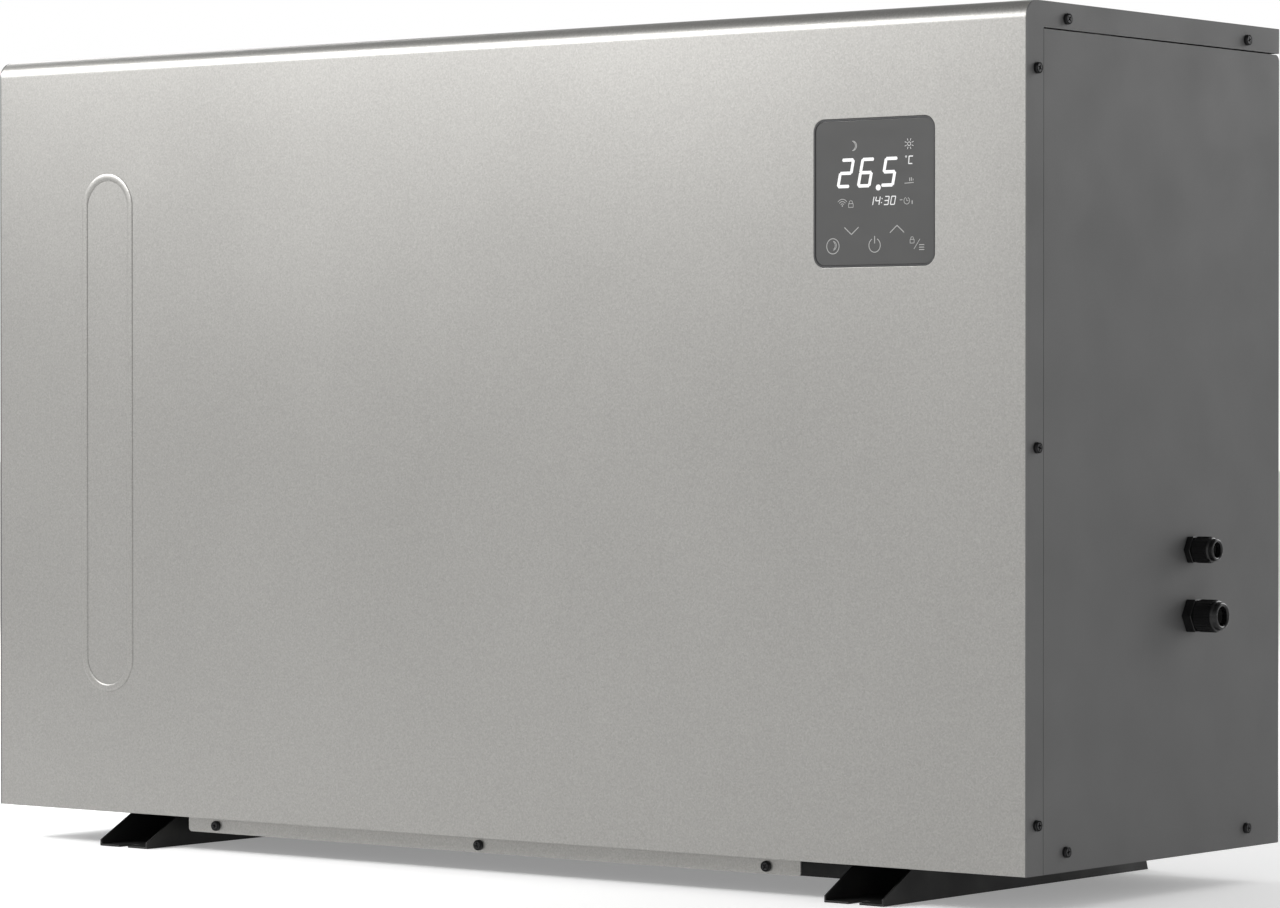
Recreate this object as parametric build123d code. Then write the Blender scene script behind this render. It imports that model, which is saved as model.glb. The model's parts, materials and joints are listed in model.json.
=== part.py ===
from build123d import *
from math import cos, radians, sin
import os

# Pool heat pump unit, in millimetres.
# Case coordinates: X to the right from the left side, Y backwards from the front face, Z up from the
# floor. Every piece is moved at export so that the origin is the bottom centre of the whole unit.

# ---------- driving dimensions ----------
CASE_W = 1000.0
CASE_D = 340.0
CASE_TOP = 632.5
BODY_Z = 27.5          # underside of the cabinet above the floor
SHEET = 1.0
BEND_R = 13.0          # top front bend, outside
GAP = 0.3              # gap between neighbouring panels
TRIM_W = 21.0          # upright leg of the side trim
BAND_Z = 614.1         # underside of the trim's top band
PANEL_TOP = 613.1      # top edge of the side panels

SCREW_R = 2.0          # M4 pan head screws
SCREW_HOLE_R = 2.15
HEAD_R = 4.0
HEAD_H = 2.6
SHANK = 9.0

WINDOW_X0, WINDOW_X1 = 819.2, 923.5
WINDOW_Z0, WINDOW_Z1 = 450.3, 555.5
WINDOW_R = 9.0
PANEL_X = (WINDOW_X0 + WINDOW_X1) / 2
PANEL_Z = (WINDOW_Z0 + WINDOW_Z1) / 2
PANEL_W = WINDOW_X1 - WINDOW_X0
PANEL_H = WINDOW_Z1 - WINDOW_Z0

INTAKE = (45.0, 305.0, 70.0, 590.0)     # air intake in the left side: y0, y1, z0, z1
INTAKE_R = 12.0
INTAKE_BARS = 35
INTAKE_POSTS = 4

STRIP_X0, STRIP_X1 = 199.0, 799.0
STRIP_Z0 = 15.2
STRIP_Y = 12.0

FOOT_W = 51.5
FOOT_X = (141.5, 856.5)
FOOT_T = 1.5
FOOT_FRONT = -3.0
FOOT_BACK = 347.0
FOOT_NOSE = 5.0        # height of a foot's wall at its front end
FOOT_SLOPE = 0.54      # rise of the cut-back wall for each millimetre backwards
FOOT_TAIL = 9.0        # how far the rear end leans forwards at its top
NOTCH_R = 4.75
NOTCH_DEEP = 16.0
ANCHOR_Y = 306.0
FOOT_BOLT_Y = (75.0, 265.0)

PAN_Y0 = STRIP_Y + SHEET + GAP
PAN_Y1 = CASE_D - SHEET - GAP
PAN_TOP = BODY_Z + SHEET
RAIL_Y = 52.0          # cross rail under the pan, between the feet
RAIL_Z0 = 11.0
RIM_TOP = 48.5
DRAIN_X, DRAIN_Y, DRAIN_R = 300.0, 150.0, 9.0
DRAIN_Z0 = 6.0
DRAIN_SHOULDER = 26.5  # the hose part ends here; a slimmer neck passes the pan
DRAIN_NECK_R = 8.4

FAN_X, FAN_Z = 385.0, 320.0
FAN_R = 190.0
SHROUD_R = 200.0
HUB_R = 45.0
SHAFT_R = 6.0
RUN_GAP = 0.05         # running clearance of turning parts
HUB_Y0, HUB_Y1 = 262.0, 322.0
MOTOR_Y0, MOTOR_Y1 = 150.0, 248.0
MOTOR_R = 47.0
GUARD_DEPTH = 16.0
GUARD_WIRE = 2.4
GUARD_RINGS = 10
GUARD_RIBS = 12

WALL_X = 700.0         # partition between the fan side and the machine side

COIL_X0, COIL_X1 = 14.0, 56.0
COIL_Y0, COIL_Y1 = 26.0, 314.0
COIL_Z0, COIL_Z1 = 40.0, 600.0
COIL_PITCH = 25.4

RUN_Y = 190.0          # plane of the refrigerant pipes
GAS_RUN_Z, LIQUID_RUN_Z = 82.0, 58.0
GAS_R, LIQUID_R = 6.0, 4.0
VALVE_X, VALVE_Z = 765.0, 400.0
PORT_STEP = 25.0
COMP_X, COMP_Y, COMP_R = 790.0, 100.0, 55.0
BOTTLE_X, BOTTLE_Y, BOTTLE_R = 875.0, 75.0, 24.0
GAS_PORT_Z, LIQUID_PORT_Z = 352.0, 112.0
EXPANSION_X = 818.0
TANK_X, TANK_Y, TANK_R = 905.0, 190.0, 58.0     # water heat exchanger
TANK_Z0, TANK_Z1 = 60.0, 430.0
STUB_X = TANK_X - TANK_R - 9
INLET_Z, OUTLET_Z = 150.0, 330.0
PIPE_BORE_R = 24.0
PIPE_R = 28.0
COLLAR_R = 33.0
SOCKET_R = 25.1        # takes a 50 mm pipe
UNION_Y0 = 342.0
TAIL_Y0 = 357.5
TAIL_Y1 = 402.0
SWITCH_Y = 300.0
PADDLE_PIVOT_Z = INLET_Z + 46.0

BOX_Z0, BOX_Z1 = 482.0, 600.0            # electrical box

GLAND_Y = 216.0
LARGE_GLAND_Z, SMALL_GLAND_Z = 200.8, 248.5
LARGE_REACH, SMALL_REACH = 27.0, 22.5

ORIGIN_X = (CASE_W + LARGE_REACH - HEAD_H) / 2
ORIGIN_Y = (FOOT_FRONT + TAIL_Y1) / 2

SIDE_SCREWS = [
    (12.5, 62.5), (12.5, 323.5), (12.5, 585.5),
    (50.0, 621.5), (293.0, 621.5),
    (49.5, 41.5), (293.0, 41.5),
]
STRIP_SCREW_X = (229.0, 499.0, 769.0)
STRIP_SCREW_Z = 20.9
REAR_SCREWS = [(x, z) for x in (10.0, 990.0) for z in (80.0, 320.0, 580.0)]
REAR_SCREWS += [(x, z) for x in (690.0, 710.0) for z in (80.0, 560.0)]
GUARD_SCREW_R = 217.0
GUARD_SCREW_TURNS = (45.0, 135.0, 225.0, 315.0)


# ---------- helpers ----------
def block(x0, x1, y0, y1, z0, z1):
    centre = Pos((x0 + x1) / 2, (y0 + y1) / 2, (z0 + z1) / 2)
    return centre * Box(x1 - x0, y1 - y0, z1 - z0)


def rod_x(x0, x1, y, z, r):
    return Pos((x0 + x1) / 2, y, z) * Rot(0, 90, 0) * Cylinder(r, x1 - x0)


def rod_y(x, y0, y1, z, r):
    return Pos(x, (y0 + y1) / 2, z) * Rot(90, 0, 0) * Cylinder(r, y1 - y0)


def rod_z(x, y, z0, z1, r):
    return Pos(x, y, (z0 + z1) / 2) * Cylinder(r, z1 - z0)


def ring_y(x, y0, y1, z, outer, inner):
    return rod_y(x, y0, y1, z, outer) - rod_y(x, y0 - 1, y1 + 1, z, inner)


def side_sheet(face, x0, thickness=SHEET):
    """A face drawn in the YZ plane, given its thickness from x0."""
    return Pos(x0, 0, 0) * extrude(Plane.YZ * face, thickness)


def area(a0, a1, b0, b1):
    return Pos((a0 + a1) / 2, (b0 + b1) / 2) * Rectangle(a1 - a0, b1 - b0)


def hex_x(x0, x1, y, z, across_flats):
    """Hexagonal bar along X with flats at top and bottom."""
    bar = extrude(RegularPolygon(across_flats / 2, 6, major_radius=False), x1 - x0)
    return Pos(x0, y, z) * Rot(0, 90, 0) * Rot(0, 0, 30) * bar


def pipe(points, radius, bend):
    path = FilletPolyline(*points, radius=bend)
    profile = Plane(path @ 0, z_dir=path % 0) * Circle(radius)
    return sweep(profile, path)


def save(name, shape):
    moved = Pos(-ORIGIN_X, -ORIGIN_Y, 0) * shape
    export_step(moved, f"parts/{name}.step")


def group(solids):
    return Compound(children=list(solids))


# ---------- cabinet ----------
def side_outline(inset=0.0):
    """The cabinet seen from the side, with the round top front edge."""
    face = area(inset, CASE_D - inset, BODY_Z + inset, CASE_TOP - inset)
    corner = face.vertices().sort_by(Axis.Y)[-2:].sort_by(Axis.X)[0]
    return fillet(corner, BEND_R - inset)


def side_screw_holes(x0, x1, screws=SIDE_SCREWS):
    return [rod_x(x0, x1, y, z, SCREW_HOLE_R) for y, z in screws]


def front_cover():
    skin = side_outline() - side_outline(SHEET)
    skin -= area(STRIP_Y, CASE_D, BODY_Z, BODY_Z + SHEET)
    skin -= area(CASE_D - SHEET, CASE_D, BODY_Z, PANEL_TOP)
    shell = side_sheet(skin, SHEET, CASE_W - 2 * SHEET)
    legs = area(0, TRIM_W - 1, BODY_Z, CASE_TOP) + area(0, CASE_D, BAND_Z + 1, CASE_TOP)
    flange = side_outline(SHEET) & legs
    for x0 in (SHEET, CASE_W - 2 * SHEET):
        shell += side_sheet(flange, x0)
        shell -= side_screw_holes(x0 - 1, x0 + 2, SIDE_SCREWS[:5])
    width = WINDOW_X1 - WINDOW_X0
    height = WINDOW_Z1 - WINDOW_Z0
    centre = Pos((WINDOW_X0 + WINDOW_X1) / 2, 5, (WINDOW_Z0 + WINDOW_Z1) / 2)
    window = centre * Rot(90, 0, 0) * extrude(RectangleRounded(width, height, WINDOW_R), 10)
    return shell - window


def edge_trim(x0):
    legs = area(0, TRIM_W, BODY_Z, CASE_TOP) + area(0, CASE_D, BAND_Z, CASE_TOP)
    plate = side_sheet(side_outline() & legs, x0)
    return plate - side_screw_holes(x0 - 1, x0 + 2, SIDE_SCREWS[:5])


def side_panel(x0, flange_x0, flange_x1):
    face = area(TRIM_W + 0.4, CASE_D, BODY_Z, PANEL_TOP)
    corner = face.vertices().sort_by(Axis.Y)[-2:].sort_by(Axis.X)[-1]
    face = fillet(corner, 5)
    plate = side_sheet(face, x0)
    plate += block(flange_x0, flange_x1, PAN_Y1 - SHEET, PAN_Y1, RIM_TOP + 2, PANEL_TOP - 3)
    holes = side_screw_holes(x0 - 1, x0 + 2, SIDE_SCREWS[5:])
    holes += [rod_y(x, PAN_Y1 - 3, PAN_Y1 + 3, z, SCREW_HOLE_R)
              for x, z in REAR_SCREWS if flange_x0 < x < flange_x1]
    return plate - holes


def left_side_panel():
    y0, y1, z0, z1 = INTAKE
    opening = block(-5, 5, y0, y1, z0, z1)
    opening = fillet(opening.edges().filter_by(Axis.X), INTAKE_R)
    return side_panel(0, SHEET, SHEET + 15) - opening


def right_side_panel():
    panel = side_panel(CASE_W - SHEET, CASE_W - SHEET - 15, CASE_W - SHEET)
    panel -= rod_x(CASE_W - 5, CASE_W + 5, GLAND_Y, LARGE_GLAND_Z, 10.2)
    return panel - rod_x(CASE_W - 5, CASE_W + 5, GLAND_Y, SMALL_GLAND_Z, 8.2)


def intake_guard():
    y0, y1, z0, z1 = INTAKE
    edge = 6.0
    outer = area(y0 - edge, y1 + edge, z0 - edge, z1 + edge)
    frame = side_sheet(outer - area(y0 + 2, y1 - 2, z0 + 2, z1 - 2), SHEET + GAP, 7.5)
    bars = Sketch()
    for i in range(1, INTAKE_BARS + 1):
        z = z0 + (z1 - z0) * i / (INTAKE_BARS + 1)
        bars += area(y0, y1, z - 1.1, z + 1.1)
    for i in range(1, INTAKE_POSTS + 1):
        y = y0 + (y1 - y0) * i / (INTAKE_POSTS + 1)
        bars += area(y - 1.6, y + 1.6, z0, z1)
    return frame + side_sheet(bars, SHEET + GAP + 5.0, 2.5)


def rear_sheet(x0, x1):
    sheet = block(x0, x1, CASE_D - SHEET, CASE_D, BODY_Z, PANEL_TOP - 0.5)
    holes = [rod_y(x, CASE_D - 5, CASE_D + 5, z, SCREW_HOLE_R) for x, z in REAR_SCREWS if x0 < x < x1]
    return sheet - holes


def guard_screw_places():
    for turn in GUARD_SCREW_TURNS:
        yield FAN_X + GUARD_SCREW_R * cos(radians(turn)), FAN_Z + GUARD_SCREW_R * sin(radians(turn))


def rear_fan_panel():
    sheet = rear_sheet(SHEET + GAP, WALL_X - GAP)
    sheet -= rod_y(FAN_X, CASE_D - 5, CASE_D + 5, FAN_Z, SHROUD_R)
    return sheet - [rod_y(x, CASE_D - 5, CASE_D + 5, z, SCREW_HOLE_R) for x, z in guard_screw_places()]


def rear_service_panel():
    sheet = rear_sheet(WALL_X + GAP, CASE_W - SHEET - GAP)
    return sheet - [rod_y(TANK_X, CASE_D - 5, CASE_D + 5, z, 36) for z in (INLET_Z, OUTLET_Z)]


def fan_guard():
    """Basket guard: a flange on the panel, legs, and concentric rings with radial ribs."""
    flange = Circle(SHROUD_R + 12) - Circle(SHROUD_R + 3)
    for turn in GUARD_SCREW_TURNS:
        ear = Pos(GUARD_SCREW_R * cos(radians(turn)), GUARD_SCREW_R * sin(radians(turn))) * Circle(7)
        flange += ear
    for turn in GUARD_SCREW_TURNS:
        hole = Pos(GUARD_SCREW_R * cos(radians(turn)), GUARD_SCREW_R * sin(radians(turn)))
        flange -= hole * Circle(SCREW_HOLE_R)
    face = Circle(34) + (Circle(SHROUD_R + 8) - Circle(SHROUD_R + 4))
    for i in range(GUARD_RINGS):
        r = 48 + 16 * i
        face += Circle(r + GUARD_WIRE / 2) - Circle(r - GUARD_WIRE / 2)
    legs = Sketch()
    for i in range(GUARD_RIBS):
        turn = Rot(0, 0, 360 / GUARD_RIBS * i)
        face += turn * area(30, SHROUD_R + 6, -1.6, 1.6)
        legs += turn * area(SHROUD_R + 4, SHROUD_R + 8, -1.6, 1.6)
    guard = extrude(flange, 2.5) + extrude(legs, GUARD_DEPTH - 2)
    guard += Pos(0, 0, GUARD_DEPTH - 4) * extrude(face, 4)
    return Pos(FAN_X, CASE_D, FAN_Z) * Rot(-90, 0, 0) * guard


# ---------- base ----------
def base_pan():
    x0, x1 = 2 * SHEET + GAP, CASE_W - 2 * SHEET - GAP
    pan = block(x0, x1, PAN_Y0, PAN_Y1, BODY_Z, RIM_TOP)
    pan -= block(x0 + SHEET, x1 - SHEET, PAN_Y0 + SHEET, PAN_Y1 - SHEET, PAN_TOP, RIM_TOP + 1)
    rail_x0 = FOOT_X[0] + FOOT_W / 2 + GAP
    rail_x1 = FOOT_X[1] - FOOT_W / 2 - GAP
    skirt_z = STRIP_Z0 + 1
    pan += block(STRIP_X0 + 1, STRIP_X1 - 1, PAN_Y0, PAN_Y0 + SHEET, skirt_z, BODY_Z)
    pan += block(rail_x0, rail_x1, RAIL_Y, RAIL_Y + SHEET, RAIL_Z0, BODY_Z)
    pan += block(rail_x0, rail_x1, PAN_Y1 - SHEET, PAN_Y1, skirt_z, BODY_Z)
    holes = [rod_y(x, PAN_Y0 - 2, PAN_Y0 + 3, STRIP_SCREW_Z, SCREW_HOLE_R) for x in STRIP_SCREW_X]
    holes += side_screw_holes(x0 - 1, x0 + 2, SIDE_SCREWS[5:])
    holes += side_screw_holes(x1 - 2, x1 + 1, SIDE_SCREWS[5:])
    holes += [rod_z(x, y, BODY_Z - 1, PAN_TOP + 1, 4.5) for x in FOOT_X for y in FOOT_BOLT_Y]
    holes.append(rod_z(DRAIN_X, DRAIN_Y, BODY_Z - 1, PAN_TOP + 1, DRAIN_R + 0.2))
    return pan - holes


def lower_front_strip():
    top = BODY_Z - 0.2
    strip = block(STRIP_X0, STRIP_X1, STRIP_Y + 0.1, PAN_Y0, STRIP_Z0, top)
    corners = strip.edges().filter_by(Axis.Y).sort_by(Axis.Z)[:2]
    strip = fillet(corners, 3)
    return strip - [rod_y(x, 5, 20, STRIP_SCREW_Z, SCREW_HOLE_R) for x in STRIP_SCREW_X]


def foot(centre_x):
    """Upward U channel: floor plate with an open anchor notch, and two walls cut back at the front."""
    x0 = centre_x - FOOT_W / 2
    x1 = centre_x + FOOT_W / 2
    slope_end = FOOT_FRONT + (BODY_Z - FOOT_NOSE) / FOOT_SLOPE
    outline = Polygon(
        (FOOT_FRONT, 0), (FOOT_BACK, 0), (FOOT_BACK - FOOT_TAIL, BODY_Z),
        (slope_end, BODY_Z), (FOOT_FRONT, FOOT_NOSE), align=None,
    )
    channel = side_sheet(outline, x0, FOOT_W)
    channel -= block(x0 + FOOT_T, x1 - FOOT_T, FOOT_FRONT - 5, FOOT_BACK + 5, FOOT_T, BODY_Z + 5)
    for y in FOOT_BOLT_Y:
        channel += block(x0 + 1, x1 - 1, y - 15, y + 15, BODY_Z - FOOT_T, BODY_Z)
        channel -= rod_z(centre_x, y, BODY_Z - 5, BODY_Z + 1, 4.5)
    notch_y = FOOT_FRONT + NOTCH_DEEP - NOTCH_R
    channel -= rod_z(centre_x, notch_y, -1, 3, NOTCH_R)
    channel -= block(centre_x - NOTCH_R, centre_x + NOTCH_R, FOOT_FRONT - 1, notch_y, -1, 3)
    return channel - rod_z(centre_x, ANCHOR_Y, -1, 3, NOTCH_R)


def hex_z(x, y, z0, z1, across_flats):
    return Pos(x, y, z0) * extrude(RegularPolygon(across_flats / 2, 6, major_radius=False), z1 - z0)


def foot_fasteners():
    solids = []
    for x in FOOT_X:
        for y in FOOT_BOLT_Y:
            solids.append(hex_z(x, y, PAN_TOP, PAN_TOP + 5.3, 13) + rod_z(x, y, 17, PAN_TOP, 4.0))
            solids.append(hex_z(x, y, BODY_Z - FOOT_T - 6.5, BODY_Z - FOOT_T, 13) - rod_z(x, y, 15, 28, 4.0))
    return group(solids)


def drain_spigot():
    body = rod_z(DRAIN_X, DRAIN_Y, PAN_TOP, PAN_TOP + 1.6, 14)
    body += rod_z(DRAIN_X, DRAIN_Y, DRAIN_SHOULDER, PAN_TOP, DRAIN_NECK_R)
    body += rod_z(DRAIN_X, DRAIN_Y, DRAIN_Z0, DRAIN_SHOULDER, DRAIN_R)
    return body - rod_z(DRAIN_X, DRAIN_Y, DRAIN_Z0 - 1, PAN_TOP + 3, 7)


# ---------- fasteners ----------
def pan_screw():
    """M4 pan head screw along Z: the head stands above z = 0, the shank below."""
    head = Pos(0, 0, HEAD_H / 2) * Cylinder(HEAD_R, HEAD_H)
    head = fillet(head.edges().sort_by(Axis.Z)[-1], 1.6)
    head += Pos(0, 0, -SHANK / 2) * Cylinder(SCREW_R, SHANK)
    cross = Pos(0, 0, HEAD_H) * (Box(4.4, 0.9, 2.6) + Box(0.9, 4.4, 2.6))
    return head - cross


def panel_screws():
    screw = pan_screw()
    solids = []
    for y, z in SIDE_SCREWS:
        solids.append(Pos(CASE_W, y, z) * Rot(0, 90, 0) * screw)
        solids.append(Pos(0, y, z) * Rot(0, -90, 0) * screw)
    for x in STRIP_SCREW_X:
        solids.append(Pos(x, STRIP_Y + 0.1, STRIP_SCREW_Z) * Rot(90, 0, 0) * screw)
    for x, z in REAR_SCREWS:
        solids.append(Pos(x, CASE_D, z) * Rot(-90, 0, 0) * screw)
    for x, z in guard_screw_places():
        solids.append(Pos(x, CASE_D + 2.5, z) * Rot(-90, 0, 0) * screw)
    return group(solids)


# ---------- control panel ----------
def front_plate(width, height, radius, y0, y1):
    plate = extrude(RectangleRounded(width, height, radius), y1 - y0)
    return Pos(PANEL_X, y1, PANEL_Z) * Rot(90, 0, 0) * plate


def control_bezel():
    """Black frame and tray behind the window, clipped in from inside."""
    rim = front_plate(PANEL_W - 0.4, PANEL_H - 0.4, WINDOW_R - 0.2, 0, 24)
    flange = front_plate(PANEL_W + 12, PANEL_H + 12, WINDOW_R + 6, SHEET + 0.1, 3.2)
    hollow = front_plate(PANEL_W - 8, PANEL_H - 8, 5, 1, 22)
    seat = front_plate(PANEL_W - 2.8, PANEL_H - 2.8, WINDOW_R - 1.4, -1, 2.6)
    return rim + flange - hollow - seat


def control_glass():
    return front_plate(PANEL_W - 3.0, PANEL_H - 3.0, WINDOW_R - 1.5, 0.4, 2.6)


def display_board():
    board = front_plate(PANEL_W - 10, PANEL_H - 10, 3, 12, 13.6)
    module = front_plate(72, 48, 1, 6, 12)
    chip = block(PANEL_X - 8, PANEL_X + 8, 13.6, 16.5, PANEL_Z - 30, PANEL_Z - 14)
    return board + Pos(0, 0, 14) * module + chip


# ---------- fan side ----------
def evaporator_fins():
    return block(COIL_X0, COIL_X1, COIL_Y0, COIL_Y1, COIL_Z0, COIL_Z1)


def evaporator_end_plates():
    low = PAN_TOP
    solids = [block(COIL_X0, COIL_X1 + 3, y0, y0 + 1.5, low, COIL_Z1 + 4)
              for y0 in (COIL_Y0 - 1.5, COIL_Y1)]
    return group(solids)


def coil_rows():
    count = int((COIL_Z1 - COIL_Z0) / COIL_PITCH)
    first = COIL_Z0 + COIL_PITCH / 2
    return [first + COIL_PITCH * i for i in range(count)]


def evaporator_bends():
    """Hairpin returns outside the end plates, staggered from one end to the other."""
    rows = coil_rows()
    solids = []
    for x in (COIL_X0 + 10.5, COIL_X1 - 10.5):
        for i in range(0, len(rows) - 1, 2):
            middle = rows[i] + COIL_PITCH / 2
            solids.append(hairpin(x, COIL_Y0 - 1.5, middle, -1))
        for i in range(1, len(rows) - 1, 2):
            middle = rows[i] + COIL_PITCH / 2
            solids.append(hairpin(x, COIL_Y1 + 1.5, middle, 1))
    return group(solids)


def hairpin(x, y, z, side):
    """Half ring in the YZ plane, open end on the plate at y, bulging to the given side."""
    profile = Pos(x, y, z + COIL_PITCH / 2) * Plane.XZ.location * Circle(4.8)
    axis = Axis((x, y, z), (1, 0, 0))
    return revolve(profile, axis, -180 * side)


def fan_shroud():
    shroud = ring_y(FAN_X, 282, PAN_Y1, FAN_Z, SHROUD_R + 3, SHROUD_R)
    shroud += ring_y(FAN_X, PAN_Y1 - 1.5, PAN_Y1, FAN_Z, SHROUD_R + 26, SHROUD_R)
    shroud += ring_y(FAN_X, 280, 284, FAN_Z, SHROUD_R + 12, SHROUD_R + 1)
    holes = [rod_y(x, PAN_Y1 - 5, PAN_Y1 + 5, z, SCREW_HOLE_R) for x, z in guard_screw_places()]
    return shroud - holes


def fan_blade():
    """Twisted blade along X, steeper at the root than at the tip; the fan axis is Z here."""
    root = Pos(HUB_R - 8, 0, 0) * Plane.YZ.location * (Rot(0, 0, 42) * Rectangle(86, 4.5))
    tip = Pos(FAN_R + 14, 0, 0) * Plane.YZ.location * (Rot(0, 0, 19) * Rectangle(196, 3.0))
    return loft([root, tip])


def fan_impeller():
    blades = Part()
    for i in range(3):
        blades += Rot(0, 0, 120 * i) * fan_blade()
    blades &= Cylinder(FAN_R, 120)
    hub = Cylinder(HUB_R, HUB_Y1 - HUB_Y0)
    hub = fillet(hub.edges().sort_by(Axis.Z)[-1], 8)
    fan = blades + hub - Cylinder(SHAFT_R, 200)
    return Pos(FAN_X, (HUB_Y0 + HUB_Y1) / 2, FAN_Z) * Rot(-90, 0, 0) * fan


def motor_shaft():
    return rod_y(FAN_X, MOTOR_Y0 + 40.5, HUB_Y1 + 9, FAN_Z, SHAFT_R)


def hub_nut():
    nut = extrude(RegularPolygon(9.5, 6, major_radius=False) - Circle(SHAFT_R), 7)
    return Pos(FAN_X, HUB_Y1, FAN_Z) * Rot(-90, 0, 0) * nut


def fan_motor():
    can = rod_y(FAN_X, MOTOR_Y0, MOTOR_Y1 - 6, FAN_Z, MOTOR_R)
    can = fillet(can.edges().sort_by(Axis.Y)[-1], 6)
    can += rod_y(FAN_X, MOTOR_Y1 - 8, MOTOR_Y1, FAN_Z, 16)
    can += rod_y(FAN_X, MOTOR_Y0, MOTOR_Y0 + 5, FAN_Z, MOTOR_R + 4)
    return can - rod_y(FAN_X, MOTOR_Y0 + 40, MOTOR_Y1 + 1, FAN_Z, SHAFT_R + RUN_GAP)


def motor_bracket():
    bracket = block(FAN_X - 56, FAN_X + 56, MOTOR_Y0 - 4, MOTOR_Y0, FAN_Z - 58, FAN_Z + 58)
    for side in (-1, 1):
        rail_x = FAN_X + 40 * side
        bracket += block(rail_x - 8, rail_x + 8, MOTOR_Y0 - 18, MOTOR_Y0 - 4, PAN_TOP, CASE_TOP - SHEET - GAP)
    return bracket


def partition_plate():
    plate = block(WALL_X - 0.5, WALL_X + 0.5, PAN_Y0 + SHEET + GAP, PAN_Y1 - SHEET - GAP, PAN_TOP,
                  CASE_TOP - SHEET - GAP)
    for z in (GAS_RUN_Z, LIQUID_RUN_Z):
        plate -= rod_x(WALL_X - 5, WALL_X + 5, RUN_Y, z, 9)
    return plate


def heat_sink():
    x1 = WALL_X - 0.5
    sink = block(x1 - 6, x1, 90, 236, 500, 585)
    for i in range(15):
        y0 = 92 + 10 * i
        sink += block(x1 - 48, x1 - 5, y0, y0 + 2.2, 500, 585)
    return sink


# ---------- refrigerant circuit ----------
def compressor():
    shell = rod_z(COMP_X, COMP_Y, 58, 300, COMP_R)
    shell = fillet(shell.edges().sort_by(Axis.Z)[-1], 22)
    plate = rod_z(COMP_X, COMP_Y, 54, 58, COMP_R + 4)
    for x, y in grommet_places():
        arm = Pos((x + COMP_X) / 2, (y + COMP_Y) / 2, 56) * Rot(0, 0, arm_turn(x, y)) * Box(70, 26, 4)
        plate += arm + rod_z(x, y, 54, 58, 13)
    stub = rod_z(COMP_X, COMP_Y, 298, 312, GAS_R)
    cover = block(COMP_X - 44, COMP_X - 12, COMP_Y - 14, COMP_Y + 14, 285, 322)
    return shell + plate + stub + cover


def grommet_places():
    for turn in (30, 150, 270):
        yield COMP_X + 68 * cos(radians(turn)), COMP_Y + 68 * sin(radians(turn))


def arm_turn(x, y):
    return Vector(1, 0, 0).get_signed_angle(Vector(x - COMP_X, y - COMP_Y, 0), Vector(0, 0, 1))


def compressor_grommets():
    solids = []
    for x, y in grommet_places():
        grommet = rod_z(x, y, PAN_TOP, 38, 13) + rod_z(x, y, 38, 44, 9) + rod_z(x, y, 44, 54, 13)
        solids.append(grommet)
    return group(solids)


def accumulator():
    bottle = rod_z(BOTTLE_X, BOTTLE_Y, 95, 270, BOTTLE_R)
    bottle = fillet(bottle.edges().filter_by(GeomType.CIRCLE), 12)
    bottle += rod_z(BOTTLE_X, BOTTLE_Y, 268, 285, GAS_R)
    bottle += pipe([(BOTTLE_X, BOTTLE_Y, 98), (BOTTLE_X, BOTTLE_Y, 74), (BOTTLE_X - 32.5, BOTTLE_Y, 74)], 5, 12)
    return bottle


def four_way_valve():
    valve = rod_x(VALVE_X - 48, VALVE_X + 48, RUN_Y, VALVE_Z, 13)
    valve += rod_z(VALVE_X, RUN_Y, VALVE_Z, VALVE_Z + 25, GAS_R)
    for i in (-1, 0, 1):
        valve += rod_z(VALVE_X + PORT_STEP * i, RUN_Y, VALVE_Z - 25, VALVE_Z, GAS_R)
    valve += block(VALVE_X - 16, VALVE_X + 16, RUN_Y + 10, RUN_Y + 42, VALVE_Z - 13, VALVE_Z + 13)
    return valve


def expansion_valve():
    body = rod_z(EXPANSION_X, RUN_Y, 96, 150, 9)
    body += rod_z(EXPANSION_X, RUN_Y, 124, 162, 16)
    body += rod_z(EXPANSION_X, RUN_Y, 90, 98, LIQUID_R)
    return body + rod_x(EXPANSION_X, STUB_X, RUN_Y, LIQUID_PORT_Z, LIQUID_R)


def discharge_pipe():
    top = VALVE_Z + 55
    points = [(COMP_X, COMP_Y, 312), (COMP_X, COMP_Y, top), (VALVE_X, RUN_Y, top),
              (VALVE_X, RUN_Y, VALVE_Z + 25)]
    return pipe(points, GAS_R, 14)


def suction_pipe():
    drop = VALVE_Z - 55
    points = [(VALVE_X, RUN_Y, VALVE_Z - 25), (VALVE_X, RUN_Y, drop), (BOTTLE_X, BOTTLE_Y, drop),
              (BOTTLE_X, BOTTLE_Y, 285)]
    return pipe(points, GAS_R, 14)


def condenser_pipe():
    x = VALVE_X + PORT_STEP
    points = [(x, RUN_Y, VALVE_Z - 25), (x, RUN_Y, GAS_PORT_Z), (STUB_X, RUN_Y, GAS_PORT_Z)]
    return pipe(points, GAS_R, 14)


def evaporator_gas_pipe():
    x = VALVE_X - PORT_STEP
    header_x = COIL_X1 + 14
    points = [(x, RUN_Y, VALVE_Z - 25), (x, RUN_Y, GAS_RUN_Z), (header_x, RUN_Y, GAS_RUN_Z),
              (header_x, 325, GAS_RUN_Z), (header_x, 325, 560)]
    return pipe(points, GAS_R, 20)


def liquid_pipe():
    header_x = COIL_X1 + 32
    points = [(EXPANSION_X, RUN_Y, 90), (EXPANSION_X, RUN_Y, LIQUID_RUN_Z), (header_x, RUN_Y, LIQUID_RUN_Z),
              (header_x, 325, LIQUID_RUN_Z), (header_x, 325, 300)]
    return pipe(points, LIQUID_R, 16)


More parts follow.
